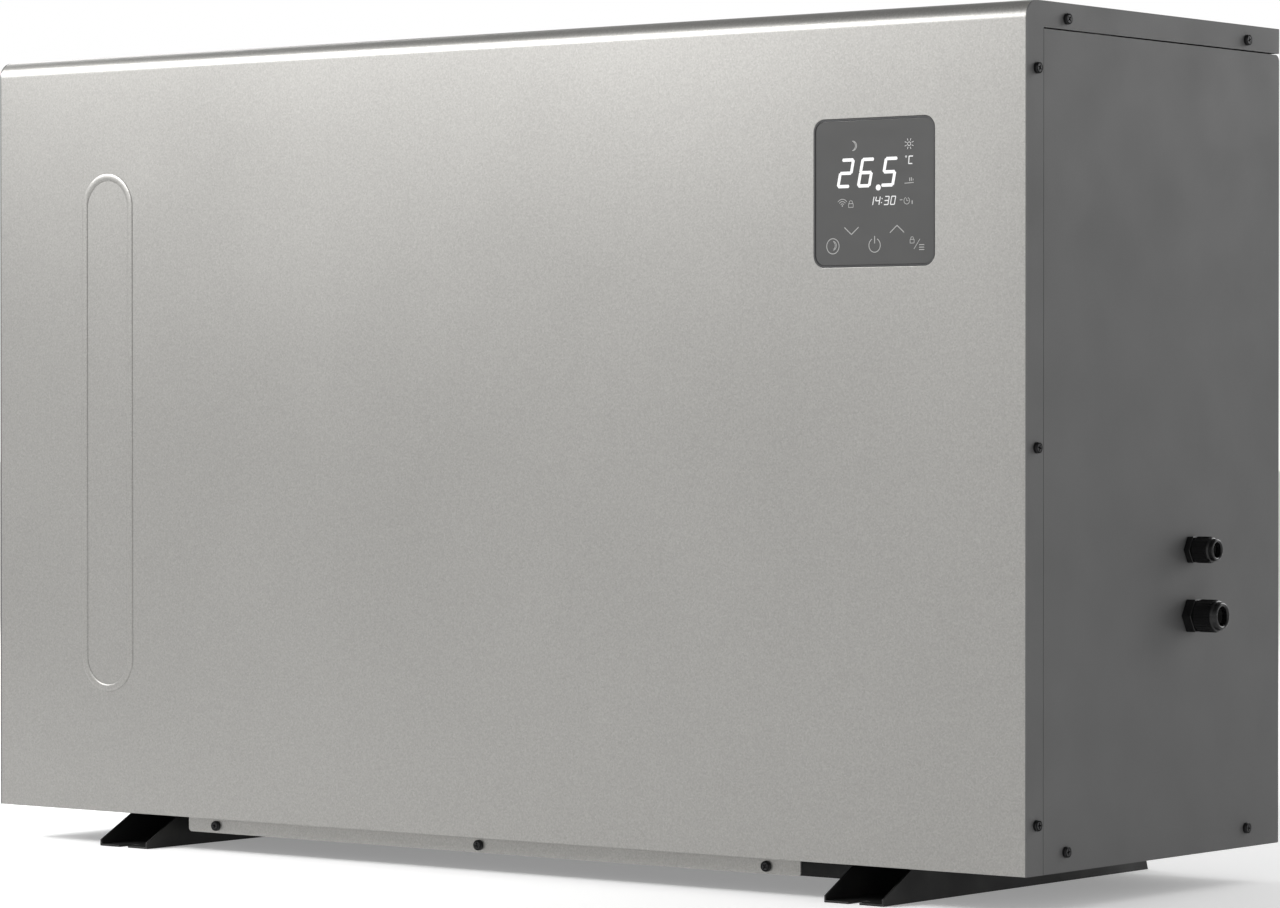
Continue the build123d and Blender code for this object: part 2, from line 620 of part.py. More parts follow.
# ---------- water side ----------
def heat_exchanger_shell():
    """Upright plastic tank with two moulded water ports and the flow switch boss."""
    tank = rod_z(TANK_X, TANK_Y, TANK_Z0, TANK_Z1, TANK_R)
    tank = fillet(tank.edges().filter_by(GeomType.CIRCLE), 14)
    for z in (TANK_Z0 + 30, TANK_Z1 - 36):
        tank += rod_z(TANK_X, TANK_Y, z, z + 6, TANK_R + 4)
    for z in (INLET_Z, OUTLET_Z):
        tank += rod_y(TANK_X, TANK_Y, UNION_Y0 + 14, z, PIPE_R)
        tank += rod_y(TANK_X, UNION_Y0, UNION_Y0 + 14, z, COLLAR_R)
    tank += rod_z(TANK_X, SWITCH_Y, INLET_Z, INLET_Z + 34, 15)
    for z in (GAS_PORT_Z, LIQUID_PORT_Z):
        tank += rod_x(STUB_X, TANK_X - TANK_R + 6, TANK_Y, z, 10)
    tank -= rod_z(TANK_X, TANK_Y, TANK_Z0 + 6, TANK_Z1 - 6, TANK_R - 5)
    for z in (INLET_Z, OUTLET_Z):
        tank -= rod_y(TANK_X, TANK_Y, UNION_Y0 + 20, z, PIPE_BORE_R)
    return tank - block(TANK_X - 5, TANK_X + 5, SWITCH_Y - 12, SWITCH_Y + 12, INLET_Z, INLET_Z + 40)


def titanium_coil():
    solids = []
    for i in range(18):
        z = TANK_Z0 + 30 + 17.5 * i
        solids.append(Pos(TANK_X, TANK_Y, z) * Torus(40, 6))
    return group(solids)


def heat_exchanger_bracket():
    x0, x1 = TANK_X - 42, TANK_X + 42
    y0, y1 = TANK_Y - 30, TANK_Y + 30
    outer = block(x0, x1, y0, y1, PAN_TOP, TANK_Z0)
    return outer - block(x0 + 2, x1 - 2, y0 - 1, y1 + 1, PAN_TOP + 2, TANK_Z0 - 2)


def union_tailpiece(z):
    tail = rod_y(TANK_X, TAIL_Y0, TAIL_Y0 + 4, z, COLLAR_R - 0.5) + rod_y(TANK_X, TAIL_Y0, TAIL_Y1, z, 30)
    tail -= rod_y(TANK_X, TAIL_Y0 - 1, TAIL_Y1 + 1, z, 22)
    return tail - rod_y(TANK_X, TAIL_Y1 - 31, TAIL_Y1 + 1, z, SOCKET_R)


def union_nut(z):
    y0, y1 = UNION_Y0 + 2, TAIL_Y0 + 9.5
    face = Circle(40)
    for i in range(16):
        face += Rot(0, 0, 22.5 * i) * Pos(40, 0) * Circle(2.4)
    nut = Pos(TANK_X, y0, z) * Rot(-90, 0, 0) * extrude(face, y1 - y0)
    nut -= rod_y(TANK_X, y0 - 1, TAIL_Y0 + 4.5, z, COLLAR_R + RUN_GAP)
    return nut - rod_y(TANK_X, y0, y1 + 1, z, 30.4)


def union_seals():
    y0 = UNION_Y0 + 14
    return group(ring_y(TANK_X, y0, TAIL_Y0, z, 30, 25) for z in (INLET_Z, OUTLET_Z))


def flow_switch_body():
    z0 = INLET_Z + 34
    body = rod_z(TANK_X, SWITCH_Y, z0, z0 + 34, 15)
    body += block(TANK_X - 12, TANK_X + 12, SWITCH_Y - 12, SWITCH_Y + 12, z0 + 30, z0 + 52)
    body -= block(TANK_X - 5, TANK_X + 5, SWITCH_Y - 12, SWITCH_Y + 12, z0 - 1, z0 + 20)
    return body - rod_x(TANK_X - 11, TANK_X + 11, SWITCH_Y, PADDLE_PIVOT_Z, 1.55)


def flow_paddle():
    pin = rod_x(TANK_X - 10.5, TANK_X + 10.5, SWITCH_Y, PADDLE_PIVOT_Z, 1.5)
    hub = rod_x(TANK_X - 3, TANK_X + 3, SWITCH_Y, PADDLE_PIVOT_Z, 3.2)
    stem = block(TANK_X - 2.5, TANK_X + 2.5, SWITCH_Y - 0.8, SWITCH_Y + 0.8, INLET_Z + 5, PADDLE_PIVOT_Z)
    blade = block(TANK_X - 9, TANK_X + 9, SWITCH_Y - 0.8, SWITCH_Y + 0.8, INLET_Z - 16, INLET_Z + 8)
    return pin + hub + stem + blade


# ---------- electrical parts ----------
def electrical_box():
    x0, x1 = WALL_X + 0.5 + GAP, 985.0
    tray = block(x0, x1, 60, 328, BOX_Z0, BOX_Z1)
    return tray - block(x0 + SHEET, x1 - SHEET, 60 + SHEET, 328 - SHEET, BOX_Z0 + SHEET, BOX_Z1 + 1)


def inverter_board():
    z0 = BOX_Z0 + 10
    board = block(722, 962, 84, 304, z0, z0 + 1.8)
    for i in range(4):
        board += rod_z(750 + 34 * i, 270, z0, z0 + 46, 14)
    board += block(740, 800, 110, 160, z0, z0 + 40)
    board += block(830, 880, 110, 200, z0, z0 + 26)
    board += block(905, 940, 100, 150, z0, z0 + 32)
    for x in (734, 950):
        for y in (92, 296):
            board += rod_z(x, y, BOX_Z0 + SHEET, z0 + 1, 4)
    return board


def terminal_block():
    z1 = BOX_Z0
    x0, y0 = 890.0, 262.0
    body = block(x0, x0 + 84, y0, y0 + 24, z1 - 26, z1)
    for i in range(7):
        x = x0 + 6 + 12 * i
        body -= block(x - 4.5, x + 4.5, y0 - 1, y0 + 7, z1 - 27, z1 - 8)
    return body


# ---------- cable glands ----------
LARGE = dict(z=LARGE_GLAND_Z, flats=23.5, thread=10.0, bore=6.4, reach=LARGE_REACH, flange=7.6)
SMALL = dict(z=SMALL_GLAND_Z, flats=19.0, thread=8.0, bore=4.9, reach=SMALL_REACH, flange=5.0)
SEAL_BACK = 15.0       # the rubber seal starts this far behind the mouth
SEAL_FRONT = 5.0


def gland_body(g):
    x = CASE_W
    body = hex_x(x, x + g["flange"], GLAND_Y, g["z"], g["flats"])
    body += rod_x(x - 16, x, GLAND_Y, g["z"], g["thread"])
    body += rod_x(x, x + g["reach"] - SEAL_BACK, GLAND_Y, g["z"], g["thread"] - 1)
    return body - rod_x(x - 17, x + g["reach"], GLAND_Y, g["z"], g["bore"])


def gland_nut(g):
    """Round dome nut with the cable hole in its nose."""
    x0 = CASE_W + g["flange"] + GAP
    x1 = CASE_W + g["reach"]
    nut = rod_x(x0, x1, GLAND_Y, g["z"], g["flats"] / 2 - 0.3)
    nut = fillet(nut.edges().sort_by(Axis.X)[-1], 3)
    nut -= rod_x(x0 - 1, x1 - SEAL_FRONT + 0.5, GLAND_Y, g["z"], g["thread"] - 1 + RUN_GAP)
    return nut - rod_x(x0, x1 + 1, GLAND_Y, g["z"], g["bore"])


def gland_seals():
    solids = []
    for g in (LARGE, SMALL):
        x0 = CASE_W + g["reach"] - SEAL_BACK
        x1 = CASE_W + g["reach"] - SEAL_FRONT
        ring = rod_x(x0, x1, GLAND_Y, g["z"], g["thread"] - 1.4)
        solids.append(ring - rod_x(x0 - 1, x1 + 1, GLAND_Y, g["z"], g["bore"]))
    return group(solids)


def gland_locknuts():
    solids = []
    for g in (LARGE, SMALL):
        x1 = CASE_W - SHEET
        nut = hex_x(x1 - 5, x1, GLAND_Y, g["z"], g["flats"])
        solids.append(nut - rod_x(x1 - 6, x1 + 1, GLAND_Y, g["z"], g["thread"]))
    return group(solids)


# ---------- export ----------
os.makedirs("parts", exist_ok=True)

pieces = {
    "front_cover": front_cover(),
    "right_edge_trim": edge_trim(CASE_W - SHEET),
    "left_edge_trim": edge_trim(0),
    "right_side_panel": right_side_panel(),
    "left_side_panel": left_side_panel(),
    "intake_guard": intake_guard(),
    "rear_fan_panel": rear_fan_panel(),
    "rear_service_panel": rear_service_panel(),
    "fan_guard": fan_guard(),
    "base_pan": base_pan(),
    "lower_front_strip": lower_front_strip(),
    "left_foot": foot(FOOT_X[0]),
    "right_foot": foot(FOOT_X[1]),
    "foot_fasteners": foot_fasteners(),
    "drain_spigot": drain_spigot(),
    "panel_screws": panel_screws(),
    "control_bezel": control_bezel(),
    "control_glass": control_glass(),
    "display_board": display_board(),
    "evaporator_fins": evaporator_fins(),
    "evaporator_end_plates": evaporator_end_plates(),
    "evaporator_bends": evaporator_bends(),
    "fan_shroud": fan_shroud(),
    "fan_impeller": fan_impeller(),
    "motor_shaft": motor_shaft(),
    "hub_nut": hub_nut(),
    "fan_motor": fan_motor(),
    "motor_bracket": motor_bracket(),
    "partition_plate": partition_plate(),
    "heat_sink": heat_sink(),
    "compressor": compressor(),
    "compressor_grommets": compressor_grommets(),
    "accumulator": accumulator(),
    "four_way_valve": four_way_valve(),
    "expansion_valve": expansion_valve(),
    "discharge_pipe": discharge_pipe(),
    "suction_pipe": suction_pipe(),
    "condenser_pipe": condenser_pipe(),
    "evaporator_gas_pipe": evaporator_gas_pipe(),
    "liquid_pipe": liquid_pipe(),
    "heat_exchanger_shell": heat_exchanger_shell(),
    "titanium_coil": titanium_coil(),
    "heat_exchanger_bracket": heat_exchanger_bracket(),
    "inlet_tailpiece": union_tailpiece(INLET_Z),
    "outlet_tailpiece": union_tailpiece(OUTLET_Z),
    "inlet_union_nut": union_nut(INLET_Z),
    "outlet_union_nut": union_nut(OUTLET_Z),
    "union_seals": union_seals(),
    "flow_switch_body": flow_switch_body(),
    "flow_paddle": flow_paddle(),
    "electrical_box": electrical_box(),
    "inverter_board": inverter_board(),
    "terminal_block": terminal_block(),
    "large_gland_body": gland_body(LARGE),
    "small_gland_body": gland_body(SMALL),
    "large_gland_nut": gland_nut(LARGE),
    "small_gland_nut": gland_nut(SMALL),
    "gland_seals": gland_seals(),
    "gland_locknuts": gland_locknuts(),
}

for piece_name, piece_shape in pieces.items():
    save(piece_name, piece_shape)
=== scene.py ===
import bmesh
import bpy
import json
from math import cos, pi, radians, sin
from mathutils import Matrix, Vector


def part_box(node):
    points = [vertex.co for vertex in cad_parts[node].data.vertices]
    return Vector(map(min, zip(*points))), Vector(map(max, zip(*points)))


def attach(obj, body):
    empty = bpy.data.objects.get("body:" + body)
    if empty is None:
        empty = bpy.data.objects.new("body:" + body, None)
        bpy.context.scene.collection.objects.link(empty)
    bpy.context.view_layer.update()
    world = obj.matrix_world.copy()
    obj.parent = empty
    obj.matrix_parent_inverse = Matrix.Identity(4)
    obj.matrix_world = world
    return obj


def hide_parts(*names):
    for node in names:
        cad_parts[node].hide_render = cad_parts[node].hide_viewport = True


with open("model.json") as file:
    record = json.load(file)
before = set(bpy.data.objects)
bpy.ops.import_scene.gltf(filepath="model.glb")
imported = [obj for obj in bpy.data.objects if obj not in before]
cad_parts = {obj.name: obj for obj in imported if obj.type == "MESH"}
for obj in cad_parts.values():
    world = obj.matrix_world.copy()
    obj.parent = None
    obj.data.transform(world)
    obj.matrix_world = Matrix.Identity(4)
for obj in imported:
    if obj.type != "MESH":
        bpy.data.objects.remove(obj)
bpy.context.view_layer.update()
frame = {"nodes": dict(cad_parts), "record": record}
nodes = frame["nodes"]
MM = 0.001
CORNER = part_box("left_edge_trim")[0]      # lower left front corner of the cabinet
CASE_W, CASE_D, CASE_H = (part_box("right_edge_trim")[1] - CORNER) / MM


def at(x, y, z):
    """A place in the cabinet's own millimetres: right, back and up from its lower left front corner."""
    return CORNER + Vector((x, y, z)) * MM


# ---------- camera, light, floor ----------
scene = bpy.context.scene
scene.view_settings.view_transform = "Standard"


def add_camera():
    data = bpy.data.cameras.new("view_camera")
    data.sensor_width = 36.0
    data.lens = 134.45
    data.clip_end = 60.0
    camera = bpy.data.objects.new("view_camera", data)
    scene.collection.objects.link(camera)
    heading = Vector((-0.61539, 0.78817, -0.0097))
    camera.location = at(2814.19, -2755.69, 323.67)
    camera.rotation_euler = heading.to_track_quat("-Z", "Y").to_euler()
    scene.camera = camera


def add_light(name, place, target, size, power, tall=None, spread=180.0):
    data = bpy.data.lights.new(name, "AREA")
    data.shape = "RECTANGLE"
    data.size = size
    data.size_y = tall or size
    data.energy = power
    data.spread = radians(spread)
    light = bpy.data.objects.new(name, data)
    scene.collection.objects.link(light)
    light.location = place
    light.rotation_euler = (Vector(target) - Vector(place)).to_track_quat("-Z", "Y").to_euler()


def add_world():
    """Air that is white near the horizon and dark overhead."""
    horizon, overhead = 0.12, 0.75
    world = bpy.data.worlds.new("studio_air")
    scene.world = world
    world.use_nodes = True
    tree = world.node_tree
    direction = tree.nodes.new("ShaderNodeTexCoord").outputs["Generated"]
    split = tree.nodes.new("ShaderNodeSeparateXYZ")
    tree.links.new(direction, split.inputs["Vector"])
    ramp = tree.nodes.new("ShaderNodeValToRGB")
    tree.links.new(split.outputs["Z"], ramp.inputs["Fac"])
    ramp.color_ramp.elements[0].position = horizon
    ramp.color_ramp.elements[0].color = (1.0, 1.0, 1.0, 1.0)
    ramp.color_ramp.elements[1].position = overhead
    ramp.color_ramp.elements[1].color = (0.15, 0.15, 0.15, 1.0)
    tree.links.new(ramp.outputs["Color"], tree.nodes["Background"].inputs["Color"])
    tree.nodes["Background"].inputs["Strength"].default_value = 1.0


def deselect():
    bpy.ops.object.select_all(action="DESELECT")


# ---------- materials ----------
class Finish:
    """A procedural surface: a shader whose colour, roughness and bump are worked out from nodes."""

    def __init__(self, name, colour, roughness, metallic=0.0):
        self.material = bpy.data.materials.new(name)
        self.material.use_nodes = True
        tree = self.material.node_tree
        self.nodes = tree.nodes
        self.links = tree.links
        self.shader = tree.nodes["Principled BSDF"]
        self.colour = (*colour, 1.0)
        self.shader.inputs["Base Color"].default_value = self.colour
        self.shader.inputs["Roughness"].default_value = roughness
        self.shader.inputs["Metallic"].default_value = metallic
        self.place = self.nodes.new("ShaderNodeTexCoord").outputs["Object"]
        self.material.diffuse_color = self.colour
        self.height = None

    def stretched(self, scale):
        mapping = self.nodes.new("ShaderNodeMapping")
        mapping.inputs["Scale"].default_value = scale
        self.links.new(self.place, mapping.inputs["Vector"])
        return mapping.outputs["Vector"]

    def noise(self, scale, detail=3.0, rough=0.5, stretch=None):
        node = self.nodes.new("ShaderNodeTexNoise")
        node.inputs["Scale"].default_value = scale
        node.inputs["Detail"].default_value = detail
        node.inputs["Roughness"].default_value = rough
        self.links.new(self.stretched(stretch) if stretch else self.place, node.inputs["Vector"])
        return node.outputs["Fac"]

    def cells(self, scale):
        node = self.nodes.new("ShaderNodeTexVoronoi")
        node.inputs["Scale"].default_value = scale
        self.links.new(self.place, node.inputs["Vector"])
        return node.outputs["Color"]

    def spread(self, value, low, high, from_low=0.3, from_high=0.7):
        node = self.nodes.new("ShaderNodeMapRange")
        node.inputs["From Min"].default_value = from_low
        node.inputs["From Max"].default_value = from_high
        node.inputs["To Min"].default_value = low
        node.inputs["To Max"].default_value = high
        self.links.new(value, node.inputs["Value"])
        return node.outputs["Result"]

    def tint(self, factor, colour_a, colour_b):
        node = self.nodes.new("ShaderNodeMix")
        node.data_type = "RGBA"
        self.links.new(factor, node.inputs["Factor"])
        for socket, colour in zip(("A", "B"), (colour_a, colour_b)):
            entry = [s for s in node.inputs if s.name == socket and s.type == "RGBA"][0]
            if isinstance(colour, tuple):
                entry.default_value = (*colour[:3], 1.0)
            else:
                self.links.new(colour, entry)
        return [s for s in node.outputs if s.type == "RGBA"][0]

    def paint(self, colour_socket):
        self.links.new(colour_socket, self.shader.inputs["Base Color"])

    def rough(self, value_socket):
        self.links.new(value_socket, self.shader.inputs["Roughness"])

    def relief(self, value, depth_mm):
        node = self.nodes.new("ShaderNodeBump")
        node.inputs["Distance"].default_value = depth_mm * MM
        node.inputs["Strength"].default_value = 1.0
        self.links.new(value, node.inputs["Height"])
        if self.height is not None:
            self.links.new(self.height, node.inputs["Normal"])
        self.height = node.outputs["Normal"]
        self.links.new(self.height, self.shader.inputs["Normal"])


def shade(colour, factor):
    return tuple(min(1.0, c * factor) for c in colour)


def silver_paint():
    """Metallic powder coat: fine flakes of slightly different brightness in a satin binder."""
    base = (0.29, 0.285, 0.272)
    f = Finish("silver_paint", base, 0.38, 0.7)
    flakes = f.spread(f.cells(900.0), 0.0, 1.0, 0.1, 0.9)
    grain = f.spread(f.noise(620.0, 2.0, 0.6), 0.0, 1.0)
    glitter = f.tint(flakes, shade(base, 0.84), shade(base, 1.18))
    speckle = f.tint(grain, shade(base, 0.9), shade(base, 1.1))
    f.paint(f.tint(f.spread(f.noise(300.0, 2.0), 0.35, 0.65), glitter, speckle))
    f.rough(f.spread(f.noise(4.0, 3.0), 0.36, 0.42))
    f.relief(f.noise(900.0, 2.0), 0.025)
    f.relief(f.noise(120.0, 2.0), 0.004)
    f.shader.inputs["Coat Weight"].default_value = 0.12
    f.shader.inputs["Coat Roughness"].default_value = 0.3
    return f.material


def graphite_paint():
    base = (0.074, 0.074, 0.074)
    f = Finish("graphite_paint", base, 0.55)
    cloud = f.spread(f.noise(5.0, 4.0), 0.0, 1.0)
    fleck = f.spread(f.noise(800.0, 2.0), 0.0, 1.0)
    colour = f.tint(cloud, shade(base, 0.97), shade(base, 1.03))
    f.paint(f.tint(fleck, colour, shade(base, 1.05)))
    f.rough(f.spread(f.noise(18.0, 3.0), 0.5, 0.6))
    f.relief(f.noise(1500.0, 2.0), 0.012)
    f.relief(f.noise(260.0, 2.0), 0.006)
    return f.material


def black_paint():
    base = (0.012, 0.012, 0.012)
    f = Finish("black_paint", base, 0.5)
    dust = f.spread(f.noise(30.0, 5.0, 0.6), 0.0, 1.0, 0.45, 0.8)
    f.paint(f.tint(dust, base, (0.024, 0.0235, 0.022)))
    f.rough(f.spread(f.noise(22.0, 3.0), 0.44, 0.6))
    f.relief(f.noise(900.0, 2.0), 0.015)
    f.shader.inputs["Specular IOR Level"].default_value = 0.3
    return f.material


def galvanised():
    """Zinc-coated sheet with its crystal spangle."""
    f = Finish("galvanised", (0.45, 0.46, 0.47), 0.38, 0.9)
    spangle = f.cells(85.0)
    colour = f.tint(spangle, (0.36, 0.37, 0.385), (0.55, 0.56, 0.57))
    f.paint(colour)
    f.rough(f.spread(spangle, 0.28, 0.5, 0.0, 1.0))
    f.relief(f.noise(300.0, 2.0), 0.006)
    return f.material


def brushed(name, base, roughness, grain=(1.0, 1.0, 40.0), metallic=1.0):
    f = Finish(name, base, roughness, metallic)
    lines = f.noise(60.0, 3.0, 0.6, grain)
    f.paint(f.tint(f.spread(lines, 0.0, 1.0), shade(base, 0.88), shade(base, 1.08)))
    f.rough(f.spread(lines, roughness * 0.85, roughness * 1.2))
    f.relief(lines, 0.004)
    return f.material


def moulded(name, base, roughness=0.5, grain=420.0, depth=0.02, variation=0.08):
    """Moulded plastic with a fine spark-eroded grain."""
    f = Finish(name, base, roughness)
    cloud = f.spread(f.noise(9.0, 3.0), 0.0, 1.0)
    f.paint(f.tint(cloud, shade(base, 1.0 - variation), shade(base, 1.0 + variation)))
    f.rough(f.spread(f.noise(25.0, 3.0), roughness * 0.88, roughness * 1.12))
    f.relief(f.noise(grain, 3.0), depth)
    return f.material


def polished_plastic():
    base = (0.004, 0.004, 0.0042)
    f = Finish("polished_plastic", base, 0.22)
    f.paint(f.tint(f.spread(f.noise(40.0), 0.0, 1.0), base, (0.007, 0.007, 0.0073)))
    f.rough(f.spread(f.noise(140.0, 4.0), 0.13, 0.26))
    f.relief(f.noise(220.0, 2.0), 0.006)
    f.shader.inputs["Specular IOR Level"].default_value = 0.3
    f.shader.inputs["Coat Weight"].default_value = 0.1
    f.shader.inputs["Coat Roughness"].default_value = 0.1
    return f.material


def window_glass():
    """Back-printed smoked acrylic, with faint polishing marks and dust."""
    base = (0.056, 0.056, 0.055)
    f = Finish("window_glass", base, 0.22)
    f.paint(f.tint(f.spread(f.noise(14.0, 3.0), 0.0, 1.0), shade(base, 0.96), shade(base, 1.04)))
    smears = f.noise(26.0, 5.0, 0.65, (1.0, 1.0, 3.0))
    f.rough(f.spread(smears, 0.18, 0.27))
    f.relief(f.noise(60.0, 2.0), 0.002)
    f.shader.inputs["Coat Weight"].default_value = 0.25
    f.shader.inputs["Coat Roughness"].default_value = 0.12
    return f.material


def lit_print(name, colour, strength):
    """Display segments: light from behind a dark mask, slightly uneven."""
    f = Finish(name, shade(colour, 0.06), 0.4)
    glow = f.tint(f.spread(f.noise(160.0, 2.0), 0.0, 1.0), shade(colour, 0.94), colour)
    f.paint(f.tint(f.spread(f.noise(90.0), 0.0, 1.0), shade(colour, 0.05), shade(colour, 0.07)))
    f.links.new(glow, f.shader.inputs["Emission Color"])
    f.shader.inputs["Emission Strength"].default_value = strength
    f.rough(f.spread(f.noise(90.0), 0.35, 0.45))
    return f.material


def copper():
    base = (0.62, 0.27, 0.15)
    f = Finish("copper", base, 0.3, 1.0)
    stain = f.spread(f.noise(22.0, 5.0, 0.65), 0.0, 1.0, 0.45, 0.7)
    f.paint(f.tint(stain, base, (0.3, 0.13, 0.085)))
    f.rough(f.spread(f.noise(45.0, 4.0), 0.24, 0.46))
    f.relief(f.noise(200.0, 2.0), 0.006)
    return f.material


def fin_foil():
    """Blue-tinted water-shedding coating on thin aluminium."""
    base = (0.42, 0.5, 0.58)
    f = Finish("fin_foil", base, 0.35, 0.8)
    f.paint(f.tint(f.spread(f.noise(35.0, 4.0), 0.0, 1.0), shade(base, 0.8), shade(base, 1.12)))
    f.rough(f.spread(f.noise(60.0, 3.0), 0.3, 0.45))
    f.relief(f.noise(500.0, 2.0), 0.01)
    return f.material


def rubber():
    base = (0.014, 0.014, 0.014)
    f = Finish("rubber", base, 0.75)
    bloom = f.spread(f.noise(35.0, 5.0, 0.6), 0.0, 1.0, 0.45, 0.75)
    f.paint(f.tint(bloom, base, (0.035, 0.034, 0.033)))
    f.rough(f.spread(f.noise(70.0), 0.68, 0.85))
    f.relief(f.noise(600.0, 3.0), 0.03)
    return f.material


def solder_mask():
    base = (0.012, 0.09, 0.035)
    f = Finish("solder_mask", base, 0.3)
    tracks = f.nodes.new("ShaderNodeTexBrick")
    tracks.inputs["Scale"].default_value = 90.0
    tracks.inputs["Mortar Size"].default_value = 0.06
    f.links.new(f.place, tracks.inputs["Vector"])
    f.paint(f.tint(tracks.outputs["Fac"], base, (0.03, 0.17, 0.07)))
    f.rough(f.spread(f.noise(80.0), 0.25, 0.4))
    f.relief(tracks.outputs["Fac"], 0.03)
    return f.material


def pale_floor():
    base = (0.9, 0.9, 0.9)
    f = Finish("pale_floor", base, 0.7)
    tone = f.tint(f.spread(f.noise(3.0), 0.0, 1.0), (0.89, 0.89, 0.89), (0.91, 0.91, 0.91))
    f.paint(tone)
    f.links.new(tone, f.shader.inputs["Emission Color"])
    f.shader.inputs["Emission Strength"].default_value = 0.3
    f.shader.inputs["Specular IOR Level"].default_value = 0.2
    f.rough(f.spread(f.noise(8.0), 0.66, 0.74))
    return f.material


# ---------- modelling helpers ----------
def settle(obj, name):
    """Names the active object and moves its place, turn and size into its mesh."""
    obj.name = name
    obj.data.name = name
    bpy.ops.object.transform_apply(location=True, rotation=True, scale=True)
    return obj


def block(name, low, high):
    deselect()
    low, high = Vector(low), Vector(high)
    bpy.ops.mesh.primitive_cube_add(size=1.0, location=(low + high) / 2, scale=high - low)
    return settle(bpy.context.object, name)


TURN = {"X": (0, pi / 2, 0), "Y": (-pi / 2, 0, 0), "Z": (0, 0, 0)}


def rod(name, centre, axis, radius_mm, length_mm, sides=48):
    deselect()
    bpy.ops.mesh.primitive_cylinder_add(vertices=sides, radius=radius_mm * MM, depth=length_mm * MM,
                                        end_fill_type="NGON", location=centre, rotation=TURN[axis])
    return settle(bpy.context.object, name)


def ring(name, centre, axis, radius_mm, wire_mm, steps=96, sides=10):
    deselect()
    bpy.ops.mesh.primitive_torus_add(location=centre, rotation=TURN[axis], major_radius=radius_mm * MM,
                                     minor_radius=wire_mm * MM, major_segments=steps, minor_segments=sides)
    return settle(bpy.context.object, name)


def open_edit(obj):
    deselect()
    bpy.context.view_layer.objects.active = obj
    obj.select_set(True)
    bpy.ops.object.mode_set(mode="EDIT")
    return bmesh.from_edit_mesh(obj.data)


def close_edit():
    bpy.ops.object.mode_set(mode="OBJECT")


def pick_faces(obj, wanted):
    """Selects the faces that wanted(centre, normal) accepts, in edit mode."""
    mesh = bmesh.from_edit_mesh(obj.data)
    bpy.ops.mesh.select_mode(type="FACE")
    bpy.ops.mesh.select_all(action="DESELECT")
    for face in mesh.faces:
        face.select_set(bool(wanted(face.calc_center_median(), face.normal)))
    bmesh.update_edit_mesh(obj.data)


def pick_edges(obj, wanted):
    mesh = bmesh.from_edit_mesh(obj.data)
    bpy.ops.mesh.select_mode(type="EDGE")
    bpy.ops.mesh.select_all(action="DESELECT")
    for edge in mesh.edges:
        edge.select_set(bool(wanted(edge.verts[0].co, edge.verts[1].co)))
    bmesh.update_edit_mesh(obj.data)


def extrude_faces(distance):
    bpy.ops.mesh.extrude_region_move(TRANSFORM_OT_translate={"value": distance})


def apply_modifier(obj, kind, **values):
    deselect()
    bpy.context.view_layer.objects.active = obj
    obj.select_set(True)
    modifier = obj.modifiers.new(kind.lower(), kind)
    for key, value in values.items():
        setattr(modifier, key, value)
    bpy.ops.object.modifier_apply(modifier=modifier.name)
    return obj


def soften(obj, width_mm, segments=2, angle=35.0):
    return apply_modifier(obj, "BEVEL", width=width_mm * MM, segments=segments, limit_method="ANGLE",
                          angle_limit=radians(angle), harden_normals=False)


def carve(obj, cutter, action="DIFFERENCE"):
    apply_modifier(obj, "BOOLEAN", object=cutter, operation=action, solver="EXACT")
    bpy.data.objects.remove(cutter)
    return obj


def join(name, parts):
    deselect()
    for part in parts:
        part.select_set(True)
    bpy.context.view_layer.objects.active = parts[0]
    if len(parts) > 1:
        bpy.ops.object.join()
    obj = bpy.context.object
    obj.name = name
    obj.data.name = name
    return obj


def copy_of(obj, name, matrix=None):
    twin = bpy.data.objects.new(name, obj.data.copy())
    scene.collection.objects.link(twin)
    if matrix is not None:
        twin.data.transform(matrix)
    return twin


def smooth(obj, angle=35.0):
    deselect()
    bpy.context.view_layer.objects.active = obj
    obj.select_set(True)
    bpy.ops.object.shade_smooth_by_angle(angle=radians(angle))
    return obj


def finish(obj, material, body, replaces=(), angle=35.0):
    """Gives a finished piece its surface and ties it to its body."""
    obj.data.materials.clear()
    obj.data.materials.append(material)
    smooth(obj, angle)
    apply_modifier(obj, "WEIGHTED_NORMAL", mode="FACE_AREA", weight=50, keep_sharp=True)
    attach(obj, body)
    if replaces:
        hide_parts(*replaces)
    return obj


def merged_copy(node, name, bevel_mm=0.0, segments=2, angle=38.0):
    """A welded copy of a CAD node's mesh, with its flat areas joined up and its edges rounded."""
    twin = copy_of(nodes[node], name)
    twin.parent = None
    open_edit(twin)
    bpy.ops.mesh.select_all(action="SELECT")
    bpy.ops.mesh.remove_doubles(threshold=0.000005)
    bpy.ops.mesh.dissolve_limited(angle_limit=radians(0.5))
    close_edit()
    if bevel_mm:
        soften(twin, bevel_mm, segments, angle)
    return twin


# ---------- cabinet ----------
BEND_R = 13.0
BEND_STEPS = 14
SHEET = 1.0
REAR_LIP = 18.4
BOTTOM_LIP = 11.5


def rounded_plate(name, x0, x1, z0, z1, y0, y1, radius, corner_steps=8):
    """A plate facing the front, with four round corners."""
    plate = block(name, at(x0, y0, z0), at(x1, y1, z1))
    open_edit(plate)
    pick_edges(plate, lambda a, b: abs(a.y - b.y) > (y1 - y0) * MM * 0.9)
    bpy.ops.mesh.bevel(offset=radius * MM, segments=corner_steps, affect="EDGES")
    close_edit()
    return plate


